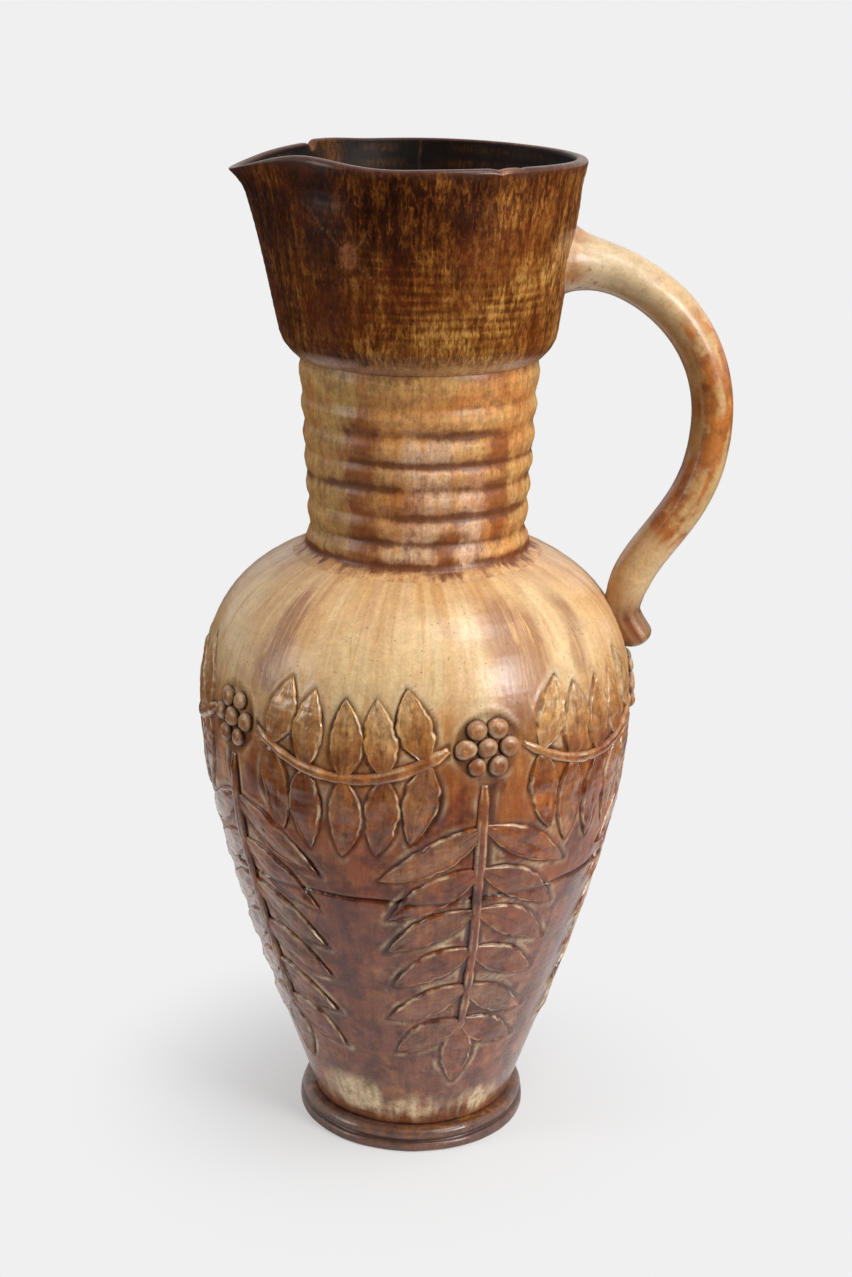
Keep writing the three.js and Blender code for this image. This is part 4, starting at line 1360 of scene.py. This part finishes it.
def mouth():
    """The funnel's outline turned, then pulled to a spout at -X, with a waving rim, a break and nicks."""
    radius, height, inner = mouth_profile()
    angle = around(MOUTH_COLUMNS)
    share = np.clip((height - MOUTH_BASE) / (RIM - MOUTH_BASE), 0, 1.02)
    aside = apart(angle, SPOUT_AT)
    beak = bell(aside, SPOUT_WIDTH)
    flanks = 3.5 * bell(aside - 46, 19) + 1.0 * bell(aside + 46, 20)
    dips = 0.6 * bell(apart(angle, 258), 14) + 0.3 * bell(apart(angle, 0), 32)
    raised = flanks + 1.8 * bell(apart(angle, 90), 45) - dips - SPOUT_DIP * beak
    past_break = apart(angle, BREAK_AT)
    left_piece = 0.4 * smooth(-0.6, 0.8, past_break) * smooth(24, 6, past_break)
    right_piece = 0.8 * smooth(0.8, -0.6, past_break) * smooth(-28, -8, past_break)
    broken_off = left_piece - right_piece
    nicks = 0.7 * bell(apart(angle, 297), 2.2) + 0.5 * bell(apart(angle, 306), 1.2)
    notch = 2.6 * bell(past_break, 1.4) + broken_off + nicks
    rings = 0.12 * np.sin(TURN * height / 5.2 + 1.5 * angle) * (0.3 + inner)
    pulled = beak * (SPOUT_REACH * share + SPOUT_CURL * share**10)
    out = radius + pulled + thrown(angle, height) + rings
    up = height + share**6 * raised - smooth(RIM - 5, RIM - 1, height) * notch
    return shell(turned(out, up, angle), mouth_paint(angle, height, inner, share), ring=True)


# %% Mouth glaze
MOUTH_COLOURS = [
    (0.00, (38, 17, 7)),
    (0.25, (66, 30, 11)),
    (0.50, (106, 58, 20)),
    (0.75, (148, 94, 38)),
    (1.00, (188, 140, 72)),
]


def mouth_colour(tree):
    """Dark brown with short ochre dashes where the painted ochre lets them through; inside nearly black."""
    ochre = painted(tree, "ochre")
    dashes = streak(tree, 40.0, 170.0, 1.0, 0.38, 0.64)
    flecks = streak(tree, 110.0, 380.0, 8.0, 0.3, 0.7)
    bands = streak(tree, 11.0, 16.0, 3.0, 0.25, 0.75)
    patchy = cloud(tree, 34.0, 4.0, 0.3, 0.7)
    red = cloud(tree, 22.0, 6.0, 0.45, 0.65)
    dashed = times(tree, dashes, patchy, 0.4, 1.0)
    shown = add_up(tree, -0.39, (dashed, 0.52), (flecks, 0.2), (bands, 0.38), (patchy, 0.16), (ochre, 0.85))
    inside = over(tree, times(tree, ochre, dashes, 0.25, 1.0), tint(16, 8, 5), tint(100, 60, 22), 0.85)
    # light tones of the foot band: the neck's glaze colour, lightened as a painted reflection on the shaded
    # underside
    band_glaze_and_reflection = over(tree, patchy, tint(176, 130, 104), tint(200, 154, 98))
    return layered(tree, colour_table(tree, shown, MOUTH_COLOURS), [
        (over, red, (120, 54, 20), 0.35),
        (over, painted(tree, "inner"), inside, 1.0),
        (over, painted(tree, "rim"), (84, 52, 40), 0.8),
        (over, times(tree, painted(tree, "foot"), dashes, 0.7, 1.0), band_glaze_and_reflection, 1.0),
        (over, painted(tree, "crack"), (136, 90, 60), 1.0),
        (over, painted(tree, "chip"), (166, 104, 68), 0.9),
    ])


mouth_glaze = glaze("mouth_glaze", mouth_colour, roughness=0.36, coat=0.3, specks=0.2, dull="inner", ior=1.2)
piece("mouth", mouth_glaze, [mouth()])

# %% [markdown]
# ## The handle
# The handle is pulled from a roll of clay: an oval carried along a curve that leaves the mouth, swings
# out and down, and runs along the shoulder to a small tail. A curve object with a bevel would do that,
# but it keeps one section. This one grows where it is pressed on to the mouth, spreads into a thin web
# where it lies on the shoulder, shrinks at the tail and has a rounded end.

# %% Handle path
HANDLE_ROOT = (68.7, 451.5)
HANDLE_BEND = (143.4, 376.0)
HANDLE_FOOT_HEIGHT = 289.0
HANDLE_TAIL_HEIGHT = 264.0
HANDLE_FOOT = (along_body(rise_at(HANDLE_FOOT_HEIGHT))[0] + 15.2, HANDLE_FOOT_HEIGHT)
HANDLE_TAIL = (along_body(rise_at(HANDLE_TAIL_HEIGHT))[0] + 7.5, HANDLE_TAIL_HEIGHT)


def handle_path():
    """Two cubic curves and a short third to the tail, as points spaced evenly along their length."""
    first = [HANDLE_ROOT, (110.5, 449.5), (HANDLE_BEND[0], 417.5), HANDLE_BEND]
    second = [HANDLE_BEND, (HANDLE_BEND[0], 328.2), (HANDLE_FOOT[0] + 6.7, 314.2), HANDLE_FOOT]
    middle = (HANDLE_FOOT[0] - 2, 276.5)
    third = [HANDLE_FOOT, middle, middle, HANDLE_TAIL]
    points = np.vstack([bezier(first, fine), bezier(second, fine[1:]), bezier(third, fine[1:])])
    way = lengths_along(points)
    even = np.linspace(0, way[-1], 210)
    return np.stack([np.interp(even, way, points[:, 0]), np.interp(even, way, points[:, 1])], axis=-1)


print(f"the handle is {lengths_along(handle_path())[-1]:.0f} mm long")

# %% Handle paint
PAINT_LENGTH = 320


def handle_paint(t, turn):
    """Cream at the top, brown patches that drift from the outside to the inside, and a dark tail."""
    along = PAINT_LENGTH * t
    blotch = 0.7 * patches(turn, along, 7, 42, 63) + 0.45 * patches(turn, along, 16, 14, 64)
    torn = 0.4 * patches(turn, along, 34, 26, 65)
    middle = 30 + 100 * smooth(0.35, 0.72, t)
    near_middle = bell(np.abs(apart(turn, 0)) - middle, 58)
    reach = smooth(0.2, 0.36, t) * (1 - smooth(0.72, 0.8, t))
    stain = reach * np.clip(1.15 * near_middle + 0.6 * blotch + torn, 0, 1)
    stain = stain + bell(t - 0.02, 0.035) * (0.4 + 0.3 * torn)
    stain = stain + 0.6 * smooth(0.84, 0.9, t) * np.clip(0.2 + blotch, 0, 1)
    joint = 0.5 * bell(t - 0.012, 0.01) * np.clip(0.4 + 0.4 * blotch + torn, 0, 1)
    pool = np.maximum(smooth(0.87, 0.955, t) * (0.85 + 0.5 * torn), joint)
    paint = {
        "speckled": bell(t - 0.045, 0.03) * bell(apart(turn, 228), 45),
        "stain": stain,
        "pool": pool,
        "pale": 1 - smooth(0.1, 0.35, t) + 0 * turn,
        "low": smooth(0.6, 0.85, t) + 0 * turn,
    }
    return held(paint)


# %% Handle shape
HALF_THICKNESS = 10.1
HALF_WIDTH = 12.5
CAP_LENGTH = 5.0


def handle():
    """An oval section carried along the path, square to it, with a flare at its root and a round tail."""
    path = handle_path()
    t = np.linspace(0, 1, len(path))
    ahead = np.gradient(path, axis=0)
    ahead = ahead / np.linalg.norm(ahead, axis=1)[:, None]
    cap = np.linspace(0, 1, 14)[1:]
    path = np.vstack([path, path[-1] + CAP_LENGTH * np.sin(cap * np.pi / 2)[:, None] * ahead[-1]])
    ahead = np.vstack([ahead, np.repeat(ahead[-1:], len(cap), axis=0)])
    size = 1 + 0.2 * bell(t, 0.07) + 0.12 * (1 - smooth(0.05, 0.5, t)) - 0.24 * smooth(0.86, 0.95, t)
    size = np.concatenate([size, size[-1] * np.cos(cap * np.pi / 2)])
    t = np.concatenate([t, np.ones(len(cap))])[:, None]
    way = lengths_along(path)[:, None]
    size = size + 0.5 * np.exp(-way[:, 0] / 5.0)
    turn = around(72)
    along = PAINT_LENGTH * t
    lumps = 1 + 0.012 * patches(turn, along, 5, 22, 61) + 0.006 * patches(turn, along, 11, 9, 62)
    out = HALF_THICKNESS * np.cos(turn) * size[:, None] * lumps
    side = HALF_WIDTH * np.sin(turn) * size[:, None] * lumps
    x = path[:, :1] - out * ahead[:, 1:]
    z = path[:, 1:] + out * ahead[:, :1]
    y = np.broadcast_to(side, x.shape)
    hug = np.exp(-way / 9.0)
    x = x + hug * (0.14 * (z - HANDLE_ROOT[1]) - y**2 / 145.0)
    clear = np.hypot(x, y) - along_body(rise_at(np.clip(z, 0, NECK_BASE)))[0]
    web = smooth(0.6, 0.75, t) * np.exp(-np.clip(clear, 0, None) / 4.0)
    y = y * (1 + 0.3 * web)
    x = x - 3.0 * web
    return shell(np.stack([x, y, z], axis=-1), handle_paint(t, turn))


# %% Handle glaze
def handle_colour(tree):
    """Cream at the top, tan low down, orange-brown patches on the long run and a dark tail."""
    torn = cloud(tree, 70.0, 3.0, 0.36, 0.56)
    fleck = cloud(tree, 260.0, 6.0, 0.54, 0.66)
    soft = cloud(tree, 30.0, 9.0, 0.4, 0.66)
    deep = cloud(tree, 110.0, 1.0, 0.44, 0.64)
    rust = over(tree, deep, tint(186, 114, 54), tint(134, 74, 32), 0.7)
    patch = times(tree, painted(tree, "stain"), torn, 0.45, 1.2)
    dark = over(tree, deep, tint(128, 66, 26), tint(78, 42, 18))
    return layered(tree, tint(208, 170, 116), [
        (over, painted(tree, "low"), (216, 180, 132), 1.0),
        (over, painted(tree, "pale"), (208, 184, 146), 0.9),
        (over, soft, (192, 148, 92), 0.25),
        (over, ease(tree, patch, 0.08, 0.75), rust, 1.0),
        (over, fleck, (170, 112, 56), 0.25),
        (over, count(tree, "MULTIPLY", painted(tree, "speckled"), fleck), (92, 58, 30), 1.0),
        (over, painted(tree, "pool"), dark, 1.0),
    ])


handle_glaze = glaze(
    "handle_glaze", handle_colour, roughness=0.36, coat=0.3, specks=0.2, grain=0.25, mottle=0.6
)
piece("handle", handle_glaze, [handle()])

# %% [markdown]
# ## The foot
# The foot is a round slab with a rounded bead on it, and the floor of the pot too. Two squashed cylinders
# would do from afar, but light catches the rounded edges, so its outline is drawn from the middle of the
# underside round the slab's edge and the bead to the middle of the floor, and is turned like the rest.
# The edges are worn, and the glaze that ran down the wall has dyed the top of the bead with rust.

# %% Foot shape
FOOT_ROUND = 1.8
FOOT_EDGE = 58.2
SLAB_TOP = 5.4
BEAD_ROUND = 3.3
BEAD_CENTRE = 55.5
FLAT_ROWS = 8


def foot_profile():
    """Radius and height: underside, two rounded edges of the slab, the bead, and the floor inside."""
    low = np.linspace(-90, 0, 9) * np.pi / 180
    high = np.linspace(0, 80, 9) * np.pi / 180
    bead = np.linspace(-62, 90, 18) * np.pi / 180
    radius = np.concatenate([
        np.linspace(2, 57, FLAT_ROWS),
        FOOT_EDGE + FOOT_ROUND * np.cos(low),
        FOOT_EDGE + FOOT_ROUND * np.cos(high),
        BEAD_CENTRE + BEAD_ROUND * np.cos(bead),
        np.linspace(54, 2, FLAT_ROWS),
    ])
    height = np.concatenate([
        np.zeros(FLAT_ROWS),
        FOOT_ROUND + FOOT_ROUND * np.sin(low),
        SLAB_TOP - FOOT_ROUND + FOOT_ROUND * np.sin(high),
        FOOT_TOP - BEAD_ROUND + BEAD_ROUND * np.sin(bead),
        np.full(FLAT_ROWS, FOOT_TOP),
    ])
    return radius[:, None], height[:, None]


def foot():
    """The outline turned, with its outer edge worn a little out of round."""
    radius, height = foot_profile()
    angle = around(360)
    rim = smooth(50, 58, radius)
    worn = rim * (0.5 * patches(angle, height, 9, 9, 71) + 0.25 * patches(angle, height, 40, 5, 72))
    run_down = 0.6 + 0.6 * patches(angle, height, 16, 8, 73) + 0.4 * patches(angle, height, 60, 4, 74)
    paint = {
        "bare": 1 - smooth(0.1, 0.9, height) + 0 * angle,
        "rust": np.clip(smooth(10.5, FOOT_TOP, height) * run_down, 0, 1),
        "pool": 0.6 * bell(height - SLAB_TOP - 0.2, 0.7) + 0 * angle,
        "arris": 0.5 * rim * bell(height - 9.4, 1.8) + 0.45 * rim * bell(height - 3.8, 1.3) + 0 * angle,
    }
    return shell(turned(radius + worn, height + 0 * angle, angle), paint)


# %% Foot glaze
def foot_colour(tree):
    """Dark brown with reddish clouds and worn edges, and bare clay on the standing face."""
    red = cloud(tree, 38.0, 2.0, 0.42, 0.66)
    chipped = cloud(tree, 170.0, 8.0, 0.46, 0.62)
    rust = over(tree, chipped, tint(110, 62, 28), tint(176, 124, 56))
    return layered(tree, tint(98, 70, 60), [
        (over, red, (122, 82, 64), 0.6),
        (over, painted(tree, "rust"), rust, 1.0),
        (over, count(tree, "MULTIPLY", painted(tree, "arris"), chipped), (150, 98, 62), 1.0),
        (over, painted(tree, "pool"), (42, 24, 16), 1.0),
        (over, painted(tree, "bare"), (168, 132, 98), 1.0),
    ])


foot_glaze = glaze("foot_glaze", foot_colour, roughness=0.33, coat=0.3, specks=0.3)
piece("foot", foot_glaze, [foot()])

# %% [markdown]
# ## Floor and backdrop
# The pot stands on a pale, very wide floor, so that the camera sees nothing else. Near the pot the floor
# is plain matt and takes the shadow. Further out it fades into the even pale grey of a studio sweep. A
# bright floor would also light the pot from below and show in its glaze. So the camera sees that grey,
# reflections see it only close behind the pot, and all other light meets a board that gets darker
# further out.

# %% Floor
FLOOR_SIDES = 64
FLOOR_RINGS = 10
FIRST_RING = 0.25


def studio_floor():
    """Rings from the middle outwards, each twice as wide as the last, joined to a disc."""
    radius = (FIRST_RING * 2.0 ** np.arange(FLOOR_RINGS))[:, None]
    points = turned(radius, 0 * radius, around(FLOOR_SIDES))
    number = np.arange(points.shape[0] * FLOOR_SIDES).reshape(-1, FLOOR_SIDES)
    rings = [number[:-1], number[1:], np.roll(number[1:], -1, axis=1), np.roll(number[:-1], -1, axis=1)]
    quads = np.stack(rings, axis=-1).reshape(-1, 4)
    mesh = bpy.data.meshes.new("studio_floor")
    mesh.from_pydata(points.reshape(-1, 3).tolist(), [], [number[0].tolist(), *quads.tolist()])
    made = bpy.data.objects.new("studio_floor", mesh)
    bpy.context.scene.collection.objects.link(made)
    return made


floor = studio_floor()
print("floor:", len(floor.data.polygons), "faces")

# %% Floor finish
STUDIO_GREY = tint(240, 240, 240)
BOARD_NEAR = tint(228, 228, 228)
BOARD_FAR = tint(60, 60, 60)
sweep = bpy.data.materials.new("studio_sweep")
sweep.use_nodes = True
tree = sweep.node_tree
matt = tree.nodes["Principled BSDF"]
matt.inputs["Roughness"].default_value = 0.9
matt.inputs["Specular IOR Level"].default_value = 0.1
glow = add(tree, "ShaderNodeEmission", {"Color": STUDIO_GREY})
ways = add(tree, "ShaderNodeLightPath", {}).outputs
seen = count(tree, "MAXIMUM", ways["Is Camera Ray"], ways["Is Transmission Ray"])
backwards = add(tree, "ShaderNodeSeparateXYZ", {0: place(tree)}).outputs[1]
from_pot = vector_step(tree, "LENGTH", {0: place(tree)}, "Value")
close_behind = count(tree, "MULTIPLY", ease(tree, backwards, -0.06, 0.04), ease(tree, from_pot, 0.7, 0.4))
seen = count(tree, "MAXIMUM", seen, count(tree, "MULTIPLY", ways["Is Glossy Ray"], close_behind))
board = over(tree, ease(tree, from_pot, 0.25, 0.6), BOARD_NEAR, BOARD_FAR)
tree.links.new(board, matt.inputs["Base Color"])
far = count(tree, "MULTIPLY", between(tree, ease(tree, from_pot, 0.05, 0.2), 0.45, 1.0), seen)
mixed = add(tree, "ShaderNodeMixShader", {0: far, 1: matt.outputs[0], 2: glow.outputs[0]})
tree.links.new(mixed.outputs[0], tree.nodes["Material Output"].inputs["Surface"])
floor.data.materials.append(sweep)
print("floor finish:", len(tree.nodes), "nodes")

# %% [markdown]
# ## Light
# The photograph's light comes mostly from the right, high up. Two soft lamps stand there, one above the
# pot and one lower, and a weak, tall one on the left draws the lines of light down the other side. An
# even white world would turn the dark glaze grey, so the world is dim in front of the pot and paler
# behind it, where its reflection only brightens the sides. The camera sees the plain backdrop.

# %% World
world = bpy.data.worlds.new("pale_studio")
bpy.context.scene.world = world
world.use_nodes = True
tree = world.node_tree
room = tree.nodes["Background"]
room.inputs["Color"].default_value = (1, 1, 1, 1)
looking = add(tree, "ShaderNodeSeparateXYZ", {0: place(tree)}).outputs[1]
behind = ease(tree, looking, -0.6, 0.1)
tree.links.new(between(tree, behind, 0.07, 0.42), room.inputs["Strength"])
backdrop = add(tree, "ShaderNodeBackground", {"Color": STUDIO_GREY, "Strength": 1.0})
ways = add(tree, "ShaderNodeLightPath", {}).outputs
mirrored = count(tree, "MAXIMUM", ways["Is Glossy Ray"], ways["Is Transmission Ray"])
mirrored = count(tree, "MULTIPLY", mirrored, behind)
seen = count(tree, "MAXIMUM", ways["Is Camera Ray"], mirrored)
mixed = add(tree, "ShaderNodeMixShader", {0: seen, 1: room.outputs[0], 2: backdrop.outputs[0]})
tree.links.new(mixed.outputs[0], tree.nodes["World Output"].inputs["Surface"])
print("world:", len(tree.nodes), "nodes")


# %% Lamps
def aimed(place_m, target_m):
    """A turn and a place. -Z points from one place to another: columns right, up and back, all square."""
    back = np.array(place_m, float) - np.array(target_m, float)
    back = back / np.linalg.norm(back)
    right = np.cross([0.0, 0.0, 1.0], back)
    right = right / np.linalg.norm(right)
    matrix = np.eye(4)
    matrix[:3, :3] = np.stack([right, np.cross(back, right), back], axis=1)
    matrix[:3, 3] = place_m
    return matrix


MIDDLE_OF_POT = (0, 0, 0.28)


def soft_lamp(name, place_m, width, height, watts):
    """A rectangular lamp that looks at the middle of the pot."""
    light = bpy.data.lights.new(name, "AREA")
    light.shape = "RECTANGLE"
    light.size = width
    light.size_y = height
    light.energy = watts
    lamp = bpy.data.objects.new(name, light)
    lamp.matrix_world = aimed(place_m, MIDDLE_OF_POT).T.tolist()
    bpy.context.scene.collection.objects.link(lamp)
    print(f"{name}: {watts} W")


soft_lamp("lamp_above", (0.65, -0.45, 1.75), 0.7, 0.7, 14)
soft_lamp("lamp_right", (1.35, -1.1, 0.95), 0.6, 0.8, 29)
soft_lamp("lamp_left", (-1.4, -0.5, 0.7), 0.5, 0.9, 8)

# %% [markdown]
# ## Camera
# The photograph looks down on the pot from about a metre away. The camera's place, lens and slight roll
# were found by fitting the pot's outline: the rim and the foot are both seen as ovals, and how open they
# are gives the height of the eye. A camera placed by eye would seldom match both. The shift moves the
# picture's centre by the few pixels by which the photograph was cropped.

# %% Camera
IMAGE_HEIGHT = 1277
FOCAL_PIXELS = 2075
LOOK_DOWN = np.radians(18.0)
ROLL = np.radians(0.6)
SHIFT_PIXELS = 9.5
CAMERA_PLACE = (0.0, -0.999, 0.585)
lens = bpy.data.cameras.new("studio_camera")
lens.sensor_width = 36.0
lens.lens = FOCAL_PIXELS / IMAGE_HEIGHT * lens.sensor_width
lens.shift_x = SHIFT_PIXELS / IMAGE_HEIGHT
lens.clip_end = 500.0
camera = bpy.data.objects.new("studio_camera", lens)
right = np.array([1.0, 0.0, 0.0])
up = np.array([0.0, np.sin(LOOK_DOWN), np.cos(LOOK_DOWN)])
matrix = np.eye(4)
matrix[:3, 0] = np.cos(ROLL) * right + np.sin(ROLL) * up
matrix[:3, 1] = np.cos(ROLL) * up - np.sin(ROLL) * right
matrix[:3, 2] = np.cross(matrix[:3, 0], matrix[:3, 1])
matrix[:3, 3] = CAMERA_PLACE
camera.matrix_world = matrix.T.tolist()
bpy.context.scene.collection.objects.link(camera)
bpy.context.scene.camera = camera
bpy.context.scene.view_settings.view_transform = "Standard"
print(f"camera: a {lens.lens:.1f} mm lens at {CAMERA_PLACE}")
